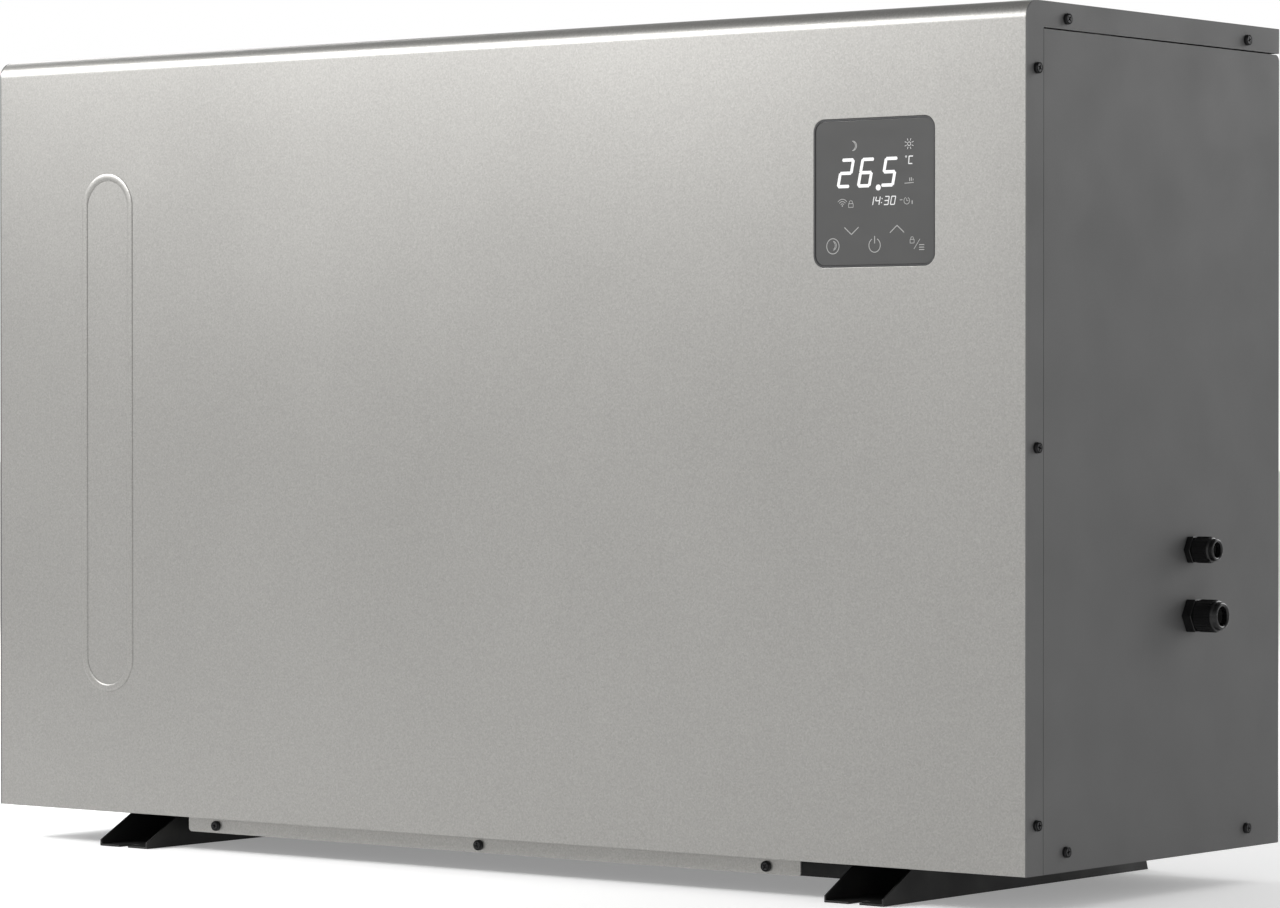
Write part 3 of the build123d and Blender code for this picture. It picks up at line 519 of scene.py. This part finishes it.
GLASS_LOW, GLASS_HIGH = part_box("control_glass")
window_x = ((GLASS_LOW.x + GLASS_HIGH.x) / 2 - CORNER.x) / MM
window_z = ((GLASS_LOW.z + GLASS_HIGH.z) / 2 - CORNER.z) / MM
WINDOW_W, WINDOW_H, WINDOW_R = 104.3, 105.2, 9.0
GLASS_R = 7.5


def cabinet_front(paint):
    """Front, round top edge, top and rear lip, folded from one sheet; the display window is cut out."""
    deselect()
    bpy.ops.mesh.primitive_plane_add(size=1.0, location=at(CASE_W / 2, 0, (CASE_H - BEND_R) / 2),
                                     rotation=(pi / 2, 0, 0))
    sheet = bpy.context.object
    sheet.scale = ((CASE_W - 2 * SHEET) * MM, (CASE_H - BEND_R) * MM, 1)
    sheet = settle(sheet, "cabinet_front")
    open_edit(sheet)
    top = at(0, 0, CASE_H - BEND_R).z
    pick_edges(sheet, lambda a, b: abs(a.z - top) < 1e-5 and abs(b.z - top) < 1e-5)
    bpy.ops.mesh.spin(steps=BEND_STEPS, angle=pi / 2, center=at(0, BEND_R, CASE_H - BEND_R), axis=(1, 0, 0))
    bpy.ops.mesh.extrude_edges_move(TRANSFORM_OT_translate={"value": (0, (CASE_D - BEND_R) * MM, 0)})
    bpy.ops.mesh.extrude_edges_move(TRANSFORM_OT_translate={"value": (0, 0, -REAR_LIP * MM)})
    pick_edges(sheet, lambda a, b: abs(a.z - CORNER.z) < 1e-5 and abs(b.z - CORNER.z) < 1e-5)
    bpy.ops.mesh.extrude_edges_move(TRANSFORM_OT_translate={"value": (0, BOTTOM_LIP * MM, 0)})
    bpy.ops.mesh.select_all(action="SELECT")
    bpy.ops.mesh.remove_doubles(threshold=0.00001)
    bpy.ops.mesh.normals_make_consistent(inside=False)
    close_edit()
    front_faces = [p for p in sheet.data.polygons if abs(p.center.y - CORNER.y) < 1e-5]
    if front_faces[0].normal.y > 0:
        sheet.data.flip_normals()
    apply_modifier(sheet, "SOLIDIFY", thickness=SHEET * MM, offset=-1.0, use_even_offset=True)
    cutter = rounded_plate("window_cut", window_x - WINDOW_W / 2, window_x + WINDOW_W / 2,
                           window_z - WINDOW_H / 2, window_z + WINDOW_H / 2, -6, 6, WINDOW_R)
    carve(sheet, cutter)
    soften(sheet, 0.35, 2, 50.0)
    return finish(sheet, paint, "cabinet", ["front_cover"], 30.0)


BEAD_X = 121.5
BEAD_Z0, BEAD_Z1 = 96.0, 511.0
BEAD_R = 25.0          # round end, to the middle of the ridge
BEAD_RIDGE = 3.0       # half the ridge's width
BEAD_FLAT = 0.28       # how far the ridge stands out, as a share of its half width


def pressed_bead(paint):
    """A tall oval bead pressed outwards near the left end of the front."""
    stretch = (BEAD_Z1 - BEAD_Z0) / 2 - BEAD_R - BEAD_RIDGE
    bead = ring("pressed_bead", (0, 0, 0), "Y", BEAD_R, BEAD_RIDGE, 96, 24)
    for vertex in bead.data.vertices:
        vertex.co.z += (1 if vertex.co.z > 0 else -1) * stretch * MM
        vertex.co.y *= BEAD_FLAT
    bead.data.transform(Matrix.Translation(at(BEAD_X, 0, (BEAD_Z0 + BEAD_Z1) / 2)))
    return finish(bead, paint, "cabinet", [], 60.0)


def strip_under_front(paint):
    strip = merged_copy("lower_front_strip", "front_strip", 0.25)
    return finish(strip, paint, "cabinet", ["lower_front_strip"])


# ---------- screws ----------
HEAD_R, HEAD_H = 4.0, 2.6
SLOT_LONG, SLOT_WIDE = 4.4, 1.0
GUARD_SCREW_R = 217.0


def screw_head():
    """Pan head with a cross recess, standing on z = 0."""
    head = rod("screw_model", (0, 0, HEAD_H / 2 * MM), "Z", HEAD_R, HEAD_H, 32)
    open_edit(head)
    pick_faces(head, lambda c, n: n.z > 0.9)
    bpy.ops.mesh.inset(thickness=0.35 * MM)
    close_edit()
    open_edit(head)
    top = HEAD_H * MM
    pick_edges(head, lambda a, b: min(a.z, b.z) > top * 0.99 and max(a.xy.length, b.xy.length) > 3.8 * MM
               and abs(a.xy.length - b.xy.length) < 0.1 * MM)
    bpy.ops.mesh.bevel(offset=1.1 * MM, segments=5, affect="EDGES", clamp_overlap=False)
    close_edit()
    floor_z, above = HEAD_H / 2 * MM, 4 * MM
    far, near = SLOT_LONG / 2 * MM, SLOT_WIDE / 2 * MM
    long_slot = block("slot_a", (-far, -near, floor_z), (far, near, above))
    cross_slot = block("slot_b", (-near, -far, floor_z), (near, far, above))
    carve(head, long_slot)
    carve(head, cross_slot)
    return head


def screw_places():
    """Every screw's head centre and outward direction."""
    side = [(12.5, 35), (12.5, 296), (12.5, 558), (50, 594), (293, 594), (49.5, 14), (293, 14)]
    for y, z in side:
        yield at(CASE_W, y, z), Vector((1, 0, 0))
        yield at(0, y, z), Vector((-1, 0, 0))
    for x in (229, 499, 769):
        yield at(x, 12.1, -6.6), Vector((0, -1, 0))
    for x in (10, 990):
        for z in (52.5, 292.5, 552.5):
            yield at(x, CASE_D, z), Vector((0, 1, 0))
    for x in (690, 710):
        for z in (52.5, 532.5):
            yield at(x, CASE_D, z), Vector((0, 1, 0))
    middle = centre_of("fan_guard")
    for turn in (45, 135, 225, 315):
        reach = Vector((cos(radians(turn)), 0, sin(radians(turn)))) * GUARD_SCREW_R * MM
        yield Vector((middle.x, at(0, CASE_D + 2.5, 0).y, middle.z)) + reach, Vector((0, 1, 0))


def centre_of(node):
    low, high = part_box(node)
    return (low + high) / 2


def all_screws(material):
    model = screw_head()
    copies = []
    for i, (place, way) in enumerate(screw_places()):
        turn = way.to_track_quat("Z", "Y").to_matrix().to_4x4() @ Matrix.Rotation(radians(37 * i), 4, "Z")
        copies.append(copy_of(model, f"screw_{i:02d}", Matrix.Translation(place) @ turn))
    bpy.data.objects.remove(model)
    screws = join("panel_screw_set", copies)
    return finish(screws, material, "cabinet", ["panel_screws"], 40.0)


# ---------- display ----------
PRINT_Y = (GLASS_LOW.y - CORNER.y) / MM - 0.02


def print_bar(x0, z0, x1, z1, width):
    """A thin printed bar with pointed ends from one point to another on the window."""
    deselect()
    run = Vector((x1 - x0, z1 - z0))
    corner = width / 2 / cos(pi / 6)
    bpy.ops.mesh.primitive_circle_add(vertices=6, radius=corner * MM, fill_type="NGON",
                                      rotation=(0, 0, pi / 2))
    bar = settle(bpy.context.object, "bar")
    for vertex in bar.data.vertices:
        vertex.co.x += (1 if vertex.co.x > 0 else -1) * max(run.length / 2 - corner / 2, 0.0) * MM
    angle = run.angle_signed(Vector((1, 0)), 0.0) if run.length else 0.0
    bar.data.transform(Matrix.Rotation(angle, 4, "Z"))
    bar.data.transform(Matrix.Rotation(pi / 2, 4, "X"))
    bar.data.transform(Matrix.Translation(at((x0 + x1) / 2, PRINT_Y, (z0 + z1) / 2)))
    return bar


def print_arc(x, z, radius, width, start, end, steps=14):
    """Part of a ring on the window, from start to end in degrees, anticlockwise from the right."""
    parts = []
    for i in range(steps):
        a = radians(start + (end - start) * i / steps)
        b = radians(start + (end - start) * (i + 1.04) / steps)
        parts.append(print_bar(x + radius * cos(a), z + radius * sin(a),
                               x + radius * cos(b), z + radius * sin(b), width))
    return parts


SEGMENTS = {"0": "abcdef", "1": "bc", "2": "abged", "3": "abgcd", "4": "fgbc", "5": "afgcd", "6": "afgedc"}
LEAN = 0.21


def digit(value, x, z, width, height, stroke):
    """A slanted seven-segment digit with its lower left corner at x, z; its segments just part."""
    half = height / 2
    gap = stroke * 0.14
    corners = {
        "a": (gap, height, width - gap, height), "g": (gap, half, width - gap, half),
        "d": (gap, 0, width - gap, 0), "f": (0, half + gap, 0, height - gap),
        "b": (width, half + gap, width, height - gap), "e": (0, gap, 0, half - gap),
        "c": (width, gap, width, half - gap),
    }
    parts = []
    for name in SEGMENTS[value]:
        x0, z0, x1, z1 = corners[name]
        parts.append(print_bar(x + x0 + LEAN * z0, z + z0, x + x1 + LEAN * z1, z + z1, stroke))
    return parts


def thicken(parts, name):
    mark = join(name, parts)
    apply_modifier(mark, "SOLIDIFY", thickness=0.06 * MM, offset=0.0)
    return mark


def print_dot(x, z, radius):
    deselect()
    bpy.ops.mesh.primitive_circle_add(vertices=24, radius=radius * MM, fill_type="NGON",
                                      location=at(x, PRINT_Y, z), rotation=(pi / 2, 0, 0))
    return settle(bpy.context.object, "dot")


def padlock(x, z, width):
    """An open outline box with a shackle, its lower left corner at x, z."""
    corners = [(x, z), (x + width, z), (x + width, z + 2.6), (x, z + 2.6), (x, z)]
    box = [print_bar(*corners[i], *corners[i + 1], 0.4) for i in range(4)]
    return box + print_arc(x + width / 2, z + 3.2, width / 2 - 0.5, 0.4, -20, 200, 10)


def chevron(x, z, rise):
    """A shallow V with its left end at x, z; rise is positive when it points up."""
    reach, width = 6.0, 0.6
    tip = (x + reach, z + rise)
    return [print_bar(x, z, *tip, width), print_bar(*tip, x + 2 * reach, z, width)]


def digits(text, places, z, width, height, stroke):
    marks = []
    for value, x in zip(text, places):
        marks += digit(value, x, z, width, height, stroke)
    return marks


def sun_mark(x, z):
    marks = print_arc(x, z, 1.3, 0.32, 0, 360, 16)
    for i in range(8):
        a = radians(45 * i + 22.5)
        marks.append(print_bar(x + 2.4 * cos(a), z + 2.4 * sin(a), x + 3.9 * cos(a), z + 3.9 * sin(a), 0.32))
    return marks


def celsius_mark(x, z):
    """A small ring and a square C; x, z is the C's upper left corner."""
    marks = print_arc(x - 2.6, z - 0.2, 0.55, 0.35, 0, 360, 12)
    foot_z = z - 5.2
    marks.append(print_bar(x - 0.4, foot_z, x, z, 0.75))
    marks.append(print_bar(x, z, x + 3.2, z, 0.75))
    marks.append(print_bar(x - 0.4, foot_z, x + 2.6, foot_z, 0.75))
    return marks


def heating_mark(x, z):
    """A line with three short marks above it, its left end at x, z."""
    return [
        print_bar(x, z, x + 7.6, z + 0.4, 0.5),
        print_bar(x + 4.3, z + 1.5, x + 4.3, z + 3.7, 0.7),
        print_bar(x + 5.8, z + 1.7, x + 5.8, z + 3.9, 0.7),
        print_bar(x + 7.2, z + 1.9, x + 7.2, z + 2.9, 0.5),
    ]


def wireless_mark(x, z):
    marks = []
    for radius in (1.7, 3.3, 4.9):
        marks += print_arc(x, z, radius, 0.45, 40, 140, 10)
    return marks + [print_dot(x, z + 0.2, 0.5)]


def timer_mark(x, z):
    """A clock ring with a gap, its two hands, and a short line on each side."""
    marks = print_arc(x, z, 2.4, 0.45, 110, 420, 18)
    marks += [print_bar(x, z, x, z + 1.7, 0.4), print_bar(x, z, x + 1.2, z, 0.4)]
    marks.append(print_bar(x - 5.8, z + 0.7, x - 3.8, z + 0.7, 0.6))
    marks.append(print_bar(x + 4.6, z - 2.3, x + 4.6, z - 0.1, 0.8))
    return marks


def display_marks(bright, soft, faint):
    big = digits("265", (840.3, 857.8, 877.9), 480.1, 9.4, 18.6, 2.3) + [print_dot(875.0, 478.6, 2.1)]
    finish(thicken(big, "temperature_digits"), bright, "cabinet")
    clock_z, width, height, stroke = 466.4, 3.4, 5.7, 0.72
    clock = digits("14", (866.8, 872.2), clock_z, width, height, stroke)
    clock += [print_dot(877.8, 467.9, 0.42), print_dot(878.4, 470.7, 0.42)]
    clock += digits("30", (879.9, 885.4), clock_z, width, height, stroke)
    clock += sun_mark(901.4, 508.5) + celsius_mark(901.4, 499.8)
    finish(thicken(clock, "clock_digits"), soft, "cabinet")
    small = print_arc(853.0, 508.6, 3.3, 0.55, -95, 95) + print_arc(852.2, 508.6, 3.1, 0.5, -60, 60, 10)
    small += heating_mark(897.6, 480.9) + wireless_mark(844.0, 466.2)
    small += padlock(849.4, 465.2, 4.0) + timer_mark(899.4, 468.7)
    finish(thicken(small, "status_symbols"), faint, "cabinet")
    keys = chevron(845.9, 451.0, -5.0) + chevron(885.1, 446.6, 5.0)
    keys += print_arc(835.8, 438.0, 5.4, 0.55, 0, 360, 28)
    keys += print_arc(871.9, 438.0, 4.9, 0.55, 118, 422, 24) + [print_bar(871.9, 439.4, 871.9, 444.4, 0.6)]
    finish(thicken(keys, "touch_keys"), faint, "cabinet")
    dim = print_arc(835.6, 438.4, 3.2, 0.45, -80, 80) + print_arc(834.8, 438.4, 3.0, 0.4, -55, 55, 10)
    dim += padlock(902.3, 438.9, 3.4)
    dim.append(print_bar(905.6, 434.8, 910.6, 441.6, 0.4))
    for i in range(3):
        dim.append(print_bar(910.0, 434.2 + 1.7 * i, 914.2, 434.2 + 1.7 * i, 0.55))
    finish(thicken(dim, "mode_key_symbols"), faint, "cabinet")


def display_window(glass_material):
    low = (GLASS_LOW - CORNER) / MM
    high = (GLASS_HIGH - CORNER) / MM
    glass = rounded_plate("display_window", low.x, high.x, low.z, high.z, low.y, high.y, GLASS_R, 10)
    soften(glass, 0.3, 3, 60.0)
    return finish(glass, glass_material, "cabinet", ["control_glass"], 30.0)


# ---------- cable glands ----------
def lathe(name, profile, centre):
    """A closed outline of (along, radius) points in millimetres turned about the X line through centre."""
    deselect()
    bpy.ops.mesh.primitive_circle_add(vertices=len(profile), radius=1.0)
    body = bpy.context.object
    for vertex, (along, radius) in zip(body.data.vertices, profile):
        vertex.co = centre + Vector((along, 0, radius)) * MM
    open_edit(body)
    bpy.ops.mesh.select_all(action="SELECT")
    bpy.ops.mesh.spin(steps=72, angle=2 * pi, center=centre, axis=(1, 0, 0))
    bpy.ops.mesh.select_all(action="SELECT")
    bpy.ops.mesh.remove_doubles(threshold=0.000004)
    bpy.ops.mesh.normals_make_consistent(inside=False)
    close_edit()
    return settle(body, name)


def bend(along, radius, size, start, end, steps=6):
    """Points of a round corner about (along, radius); 0 degrees points outwards, 90 along the axis."""
    turns = [radians(start + (end - start) * i / steps) for i in range(steps + 1)]
    return [(along + size * sin(t), radius + size * cos(t)) for t in turns]


GLAND_GAP = 0.3        # between the hexagon and the nut
NUT_WALL = 2.35
NUT_NOSE = 5.0         # length of the nut's narrowing end
SHOULDER_R = 2.0
RIB_R = 0.42
RIB_COUNT = 30


def gland(prefix, body_node, nut_node, mouth, lip, material):
    """Hexagonal body, flats at top and bottom, and a ribbed dome nut with a rolled lip round the bore."""
    low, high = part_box(body_node)
    nut_low, nut_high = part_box(nut_node)
    middle = centre_of(nut_node)
    flats = (high.z - low.z) / MM
    wall = Vector((at(CASE_W, 0, 0).x, middle.y, middle.z))
    split = (nut_low.x - wall.x) / MM - GLAND_GAP
    body = rod(f"{prefix}_gland_body", wall + Vector((split / 2 * MM, 0, 0)), "X", flats / 2 / cos(pi / 6),
               split, 6)
    soften(body, 0.6, 3, 40.0)
    carve(body, rod("thread", wall + Vector((-8.0 * MM, 0, 0)), "X", flats / 2 - 1.8, 16.5), "UNION")
    carve(body, rod("hole", middle, "X", mouth - 0.4, 90))
    finish(body, material, "cabinet", [body_node])
    end = (nut_high.x - nut_low.x) / MM
    outer = flats / 2 - 0.3
    inner = outer - NUT_WALL
    profile = [(0.0, inner), (0.0, outer - 0.4), (0.4, outer)]
    profile += bend(end - NUT_NOSE, outer - SHOULDER_R, SHOULDER_R, 0, 58)
    profile += bend(end - lip, mouth + lip, lip, 28, 180, 10)
    profile += [(end - NUT_NOSE + 0.1, mouth - 0.3), (end - NUT_NOSE + 0.1, inner)]
    nut = lathe(f"{prefix}_gland_nut", profile, Vector((nut_low.x, middle.y, middle.z)))
    length = end - NUT_NOSE - 1.5
    rib_x = nut_low.x + (length / 2 + 0.8) * MM
    rib = rod("rib", (rib_x, middle.y, middle.z + outer * MM), "X", RIB_R, length, 8)
    ribs = [copy_of(rib, "rib", turn_about(middle, "X", 360.0 / RIB_COUNT * i)) for i in range(RIB_COUNT)]
    bpy.data.objects.remove(rib)
    nut = join(f"{prefix}_gland_nut", [nut] + ribs)
    return finish(nut, material, body_of(nut_node), [nut_node])


def body_of(node):
    return next(body for body, parts in frame["record"]["behaviour"]["bodies"].items() if node in parts)


def turn_about(point, axis, degrees):
    there = Matrix.Translation(Vector(point))
    return there @ Matrix.Rotation(radians(degrees), 4, axis) @ there.inverted()


# ---------- rear ----------
def fan_basket(material):
    """Wire guard: rings and radial wires, with legs back to a flange on the panel."""
    low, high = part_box("fan_guard")
    middle = (low + high) / 2
    front, back = at(0, CASE_D, 0).y, high.y
    parts = []
    for i in range(11):
        radius = 48 + 16 * i
        parts.append(ring("ring", (middle.x, back - 2.2 * MM, middle.z), "Y", min(radius, 206), 1.5, 80, 8))
    hub = rod("hub", (middle.x, back - 2.0 * MM, middle.z), "Y", 34, 3.8, 56)
    soften(hub, 0.9, 3, 50.0)
    flange = ring("flange", (middle.x, front + 1.6 * MM, middle.z), "Y", 208, 1.6, 96, 8)
    parts += [hub, flange]
    for i in range(12):
        spoke = rod("spoke", (middle.x + 119 * MM, back - 2.2 * MM, middle.z), "X", 1.8, 176, 10)
        leg = rod("leg", (middle.x + 206.5 * MM, (front + back) / 2, middle.z), "Y", 1.8, 13, 10)
        for part in (spoke, leg):
            part.data.transform(turn_about(middle, "Y", 30.0 * i))
            parts.append(part)
    for turn in (45, 135, 225, 315):
        ear = rod("ear", (middle.x + 216 * MM, front + 1.2 * MM, middle.z), "Y", 7, 2.4, 28)
        soften(ear, 0.5, 2, 50.0)
        ear.data.transform(turn_about(middle, "Y", turn))
        parts.append(ear)
    guard = join("fan_basket", parts)
    return finish(guard, material, "cabinet", ["fan_guard"])


def fan_wheel(material):
    """Three broad swept blades on a ribbed hub."""
    low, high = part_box("fan_impeller")
    hub_y0, hub_y1 = at(0, 262, 0).y, at(0, 322, 0).y
    axis = Vector((centre_of("motor_shaft").x, (hub_y0 + hub_y1) / 2, centre_of("motor_shaft").z))
    parts = []
    for i in range(3):
        deselect()
        bpy.ops.mesh.primitive_grid_add(x_subdivisions=16, y_subdivisions=14, size=1.0)
        blade = bpy.context.object
        for vertex in blade.data.vertices:
            along, across = vertex.co.x + 0.5, vertex.co.y
            radius = 40.0 + along * 149.0
            chord = 60.0 + 118.0 * along ** 0.8 - 40.0 * max(0.0, along - 0.8) ** 2
            pitch = radians(40.0 - 20.0 * along)
            sweep = radians(16.0 * along ** 1.5)
            camber = 7.0 * (0.25 - across ** 2)
            arc = chord * across * cos(pitch) / radius + sweep
            depth = -chord * across * sin(pitch) + camber
            vertex.co = Vector((radius * cos(arc), depth, radius * sin(arc))) * MM
        blade.data.transform(Matrix.Rotation(radians(120.0 * i), 4, "Y"))
        blade.data.transform(Matrix.Translation(axis))
        apply_modifier(blade, "SOLIDIFY", thickness=3.2 * MM, offset=0.0)
        soften(blade, 1.1, 3, 60.0)
        parts.append(blade)
    hub = rod("hub", axis, "Y", 45, 60, 72)
    open_edit(hub)
    pick_faces(hub, lambda c, n: n.y > 0.9)
    bpy.ops.mesh.inset(thickness=9 * MM)
    extrude_faces((0, -6 * MM, 0))
    bpy.ops.mesh.inset(thickness=16 * MM)
    extrude_faces((0, 6 * MM, 0))
    close_edit()
    soften(hub, 2.0, 4, 50.0)
    carve(hub, rod("hole", axis, "Y", 6.0, 90, 40))
    parts.append(hub)
    fan = join("fan_wheel", parts)
    return finish(fan, material, "fan_rotor", ["fan_impeller"], 40.0)


def union_set(prefix, nut_body, material):
    """Pipe union: a ribbed nut with a chamfered nose, and the glue socket it holds."""
    nut_node, tail_node = f"{prefix}_union_nut", f"{prefix}_tailpiece"
    low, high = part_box(nut_node)
    middle = (low + high) / 2
    length = (high.y - low.y) / MM
    nut = rod(f"{prefix}_nut", middle, "Y", 40, length, 96)
    soften(nut, 2.0, 4, 50.0)
    ribs = []
    for i in range(24):
        rib = rod("rib", middle + Vector((40.2 * MM, 0, 0)), "Y", 2.1, length - 5, 10)
        soften(rib, 0.7, 2, 50.0)
        rib.data.transform(turn_about(middle, "Y", 15.0 * i))
        ribs.append(rib)
    carve(nut, rod("hole", middle, "Y", 33.1, length - 8, 64))
    carve(nut, rod("hole", middle, "Y", 30.5, 60, 64))
    nut = join(f"{prefix}_nut", [nut] + ribs)
    finish(nut, material, nut_body, [nut_node], 40.0)
    low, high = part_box(tail_node)
    middle = (low + high) / 2
    length = (high.y - low.y) / MM
    tail = rod(f"{prefix}_socket", middle, "Y", 30, length, 80)
    carve(tail, rod("hole", middle, "Y", 22, 80, 64))
    carve(tail, rod("hole", (middle.x, high.y - 14.5 * MM, middle.z), "Y", 25.1, 33, 64))
    soften(tail, 0.8, 3, 50.0)
    lip = ring("lip", (middle.x, high.y - 2.4 * MM, middle.z), "Y", 29.9, 1.3, 80, 8)
    tail = join(f"{prefix}_socket", [tail, lip])
    return finish(tail, material, "cabinet", [tail_node], 40.0)


def coil_lamellae(material):
    """The evaporator's stack of thin plates, each slightly corrugated."""
    low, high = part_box("evaporator_fins")
    count = 144            # plates in the stack
    pitch = (high.y - low.y) / count
    depth = high.x - low.x
    deselect()
    middle = (low + high) / 2
    bpy.ops.mesh.primitive_cube_add(size=1.0, location=(middle.x, low.y + pitch / 2, middle.z),
                                    scale=(depth, 0.14 * MM, high.z - low.z))
    plate = settle(bpy.context.object, "plate")
    open_edit(plate)
    for share in (0.25, 0.5, 0.75):
        bpy.ops.mesh.select_all(action="SELECT")
        bpy.ops.mesh.bisect(plane_co=(low.x + depth * share, 0, 0), plane_no=(1, 0, 0))
    close_edit()
    for vertex in plate.data.vertices:
        step = round((vertex.co.x - low.x) / depth * 4)
        vertex.co.y += (0.35 if step % 2 else -0.35) * MM
    plates = [copy_of(plate, f"plate_{i}", Matrix.Translation((0, pitch * i, 0))) for i in range(count)]
    bpy.data.objects.remove(plate)
    stack = join("coil_lamellae", plates)
    return finish(stack, material, "cabinet", ["evaporator_fins"], 20.0)


TUBE_PITCH = 25.4


def coil_tubes(material):
    """Two rows of straight tubes through the plates."""
    low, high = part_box("evaporator_fins")
    rows = int((high.z - low.z) / (TUBE_PITCH * MM))
    middle_y = (low.y + high.y) / 2
    length = (high.y - low.y) / MM
    first = (low.x + 10.5 * MM, middle_y, low.z + TUBE_PITCH / 2 * MM)
    model = rod("tube_model", first, "Y", 4.8, length, 20)
    soften(model, 0.4, 2, 50.0)
    tubes = []
    for i in range(rows):
        for step in (0.0, (high.x - low.x) - 21 * MM):
            tubes.append(copy_of(model, "tube", Matrix.Translation((step, 0, TUBE_PITCH * MM * i))))
    bpy.data.objects.remove(model)
    return finish(join("coil_tubes", tubes), material, "cabinet")


def intake_louvres(material):
    """Frame and rounded bars over the intake."""
    low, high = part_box("intake_guard")
    frame_piece = block("intake_frame", low, high)
    inside = block("inside", (low.x - 0.01, low.y + 8 * MM, low.z + 8 * MM),
                   (high.x + 0.01, high.y - 8 * MM, high.z - 8 * MM))
    carve(frame_piece, inside)
    soften(frame_piece, 1.0, 3, 50.0)
    parts = [frame_piece]
    window_low, window_high = low.z + 6 * MM, high.z - 6 * MM
    middle = (low + high) / 2
    bar_x = high.x - 1.3 * MM
    bar_model = block("bar", (bar_x - 1.1 * MM, low.y + 7 * MM, -1.1 * MM),
                      (bar_x + 1.1 * MM, high.y - 7 * MM, 1.1 * MM))
    soften(bar_model, 0.7, 3, 50.0)
    for i in range(1, 36):
        z = window_low + (window_high - window_low) * i / 36
        parts.append(copy_of(bar_model, "bar", Matrix.Translation((0, 0, z))))
    bpy.data.objects.remove(bar_model)
    for i in range(1, 5):
        y = low.y + 6 * MM + (high.y - low.y - 12 * MM) * i / 5
        post = rod("post", (bar_x, y, middle.z), "Z", 1.2, (high.z - low.z) / MM - 12, 10)
        soften(post, 0.3, 2, 50.0)
        parts.append(post)
    guard = join("intake_louvres", parts)
    return finish(guard, material, "cabinet", ["intake_guard"])


# ---------- put it together ----------
add_camera()
add_world()
paint_silver = silver_paint()
paint_graphite = graphite_paint()
paint_black = black_paint()
zinc_sheet = galvanised()
black_oxide = brushed("black_oxide", (0.018, 0.018, 0.019), 0.34, (1.0, 1.0, 1.0), 0.6)
bright_zinc = brushed("bright_zinc", (0.56, 0.55, 0.5), 0.3)
ground_steel = brushed("ground_steel", (0.55, 0.55, 0.56), 0.22, (1.0, 30.0, 1.0))
extruded_aluminium = brushed("extruded_aluminium", (0.5, 0.5, 0.51), 0.34)
titanium_metal = brushed("titanium_metal", (0.4, 0.38, 0.35), 0.36)
valve_brass = brushed("valve_brass", (0.6, 0.42, 0.17), 0.28, (30.0, 1.0, 1.0))
plain_copper = copper()
fin_metal = fin_foil()
black_moulding = moulded("black_moulding", (0.02, 0.02, 0.021), 0.48)
fan_moulding = moulded("fan_moulding", (0.03, 0.03, 0.033), 0.42, 260.0, 0.03)
union_moulding = moulded("union_moulding", (0.035, 0.036, 0.04), 0.36, 180.0, 0.012)
tank_moulding = moulded("tank_moulding", (0.6, 0.6, 0.57), 0.4, 160.0, 0.02, 0.04)
ivory_moulding = moulded("ivory_moulding", (0.58, 0.56, 0.48), 0.42)
enamel = moulded("black_enamel", (0.016, 0.016, 0.018), 0.26, 90.0, 0.02)
gland_plastic = polished_plastic()
soft_rubber = rubber()
board_green = solder_mask()
smoked_window = window_glass()
bright_ink = lit_print("bright_segments", (1.0, 1.0, 1.0), 1.0)
soft_ink = lit_print("soft_symbols", (0.8, 0.8, 0.8), 1.0)
faint_ink = lit_print("faint_symbols", (0.4, 0.4, 0.39), 1.0)

FINISH_OF = {
    "silver_paint": paint_silver, "graphite_paint": paint_graphite, "black_paint": paint_black,
    "galvanised": zinc_sheet, "black_screws": black_oxide, "zinc_bolts": bright_zinc,
    "shaft_steel": ground_steel, "black_plastic": black_moulding, "gland_plastic": gland_plastic,
    "panel_glass": smoked_window, "circuit_board": board_green, "coil_fins": fin_metal,
    "cast_aluminium": extruded_aluminium, "copper": plain_copper, "valve_brass": valve_brass,
    "compressor_paint": enamel, "titanium": titanium_metal, "tank_plastic": tank_moulding,
    "union_plastic": union_moulding, "rubber": soft_rubber, "fan_plastic": fan_moulding,
    "terminal_plastic": ivory_moulding,
}
for entry in frame["record"]["subparts"]:
    mesh = nodes[entry["node"]].data
    mesh.materials.clear()
    mesh.materials.append(FINISH_OF[entry["material_slot"]])

cabinet_front(paint_silver)
pressed_bead(paint_silver)
strip_under_front(paint_silver)
for trim in ("left_edge_trim", "right_edge_trim", "left_side_panel", "right_side_panel",
             "rear_fan_panel", "rear_service_panel"):
    finish(merged_copy(trim, f"{trim}_sheet", 0.22), paint_graphite, "cabinet", [trim])
for foot in ("left_foot", "right_foot"):
    finish(merged_copy(foot, f"{foot}_channel", 0.3), paint_black, "cabinet", [foot])
all_screws(black_oxide)
display_window(smoked_window)
display_marks(bright_ink, soft_ink, faint_ink)
gland("power", "large_gland_body", "large_gland_nut", 6.85, 1.6, gland_plastic)
gland("signal", "small_gland_body", "small_gland_nut", 5.4, 1.3, gland_plastic)
fan_basket(black_moulding)
fan_wheel(fan_moulding)
union_set("inlet", "inlet_nut", union_moulding)
union_set("outlet", "outlet_nut", union_moulding)
coil_lamellae(fin_metal)
coil_tubes(plain_copper)
intake_louvres(black_moulding)

deselect()
bpy.ops.mesh.primitive_plane_add(size=40.0, location=(0, 0, 0))
floor = bpy.context.object
floor.name = "floor"
floor.data.materials.append(pale_floor())

add_light("front_softbox", at(-850, -1150, 1350), at(250, 0, 640), 1.6, 24.0, 0.5, 120.0)
add_light("rear_softbox", at(1500, 3200, 1900), at(500, 340, 300), 2.4, 60.0)
add_light("left_softbox", at(-2800, 1600, 1700), at(0, 170, 300), 2.0, 40.0)
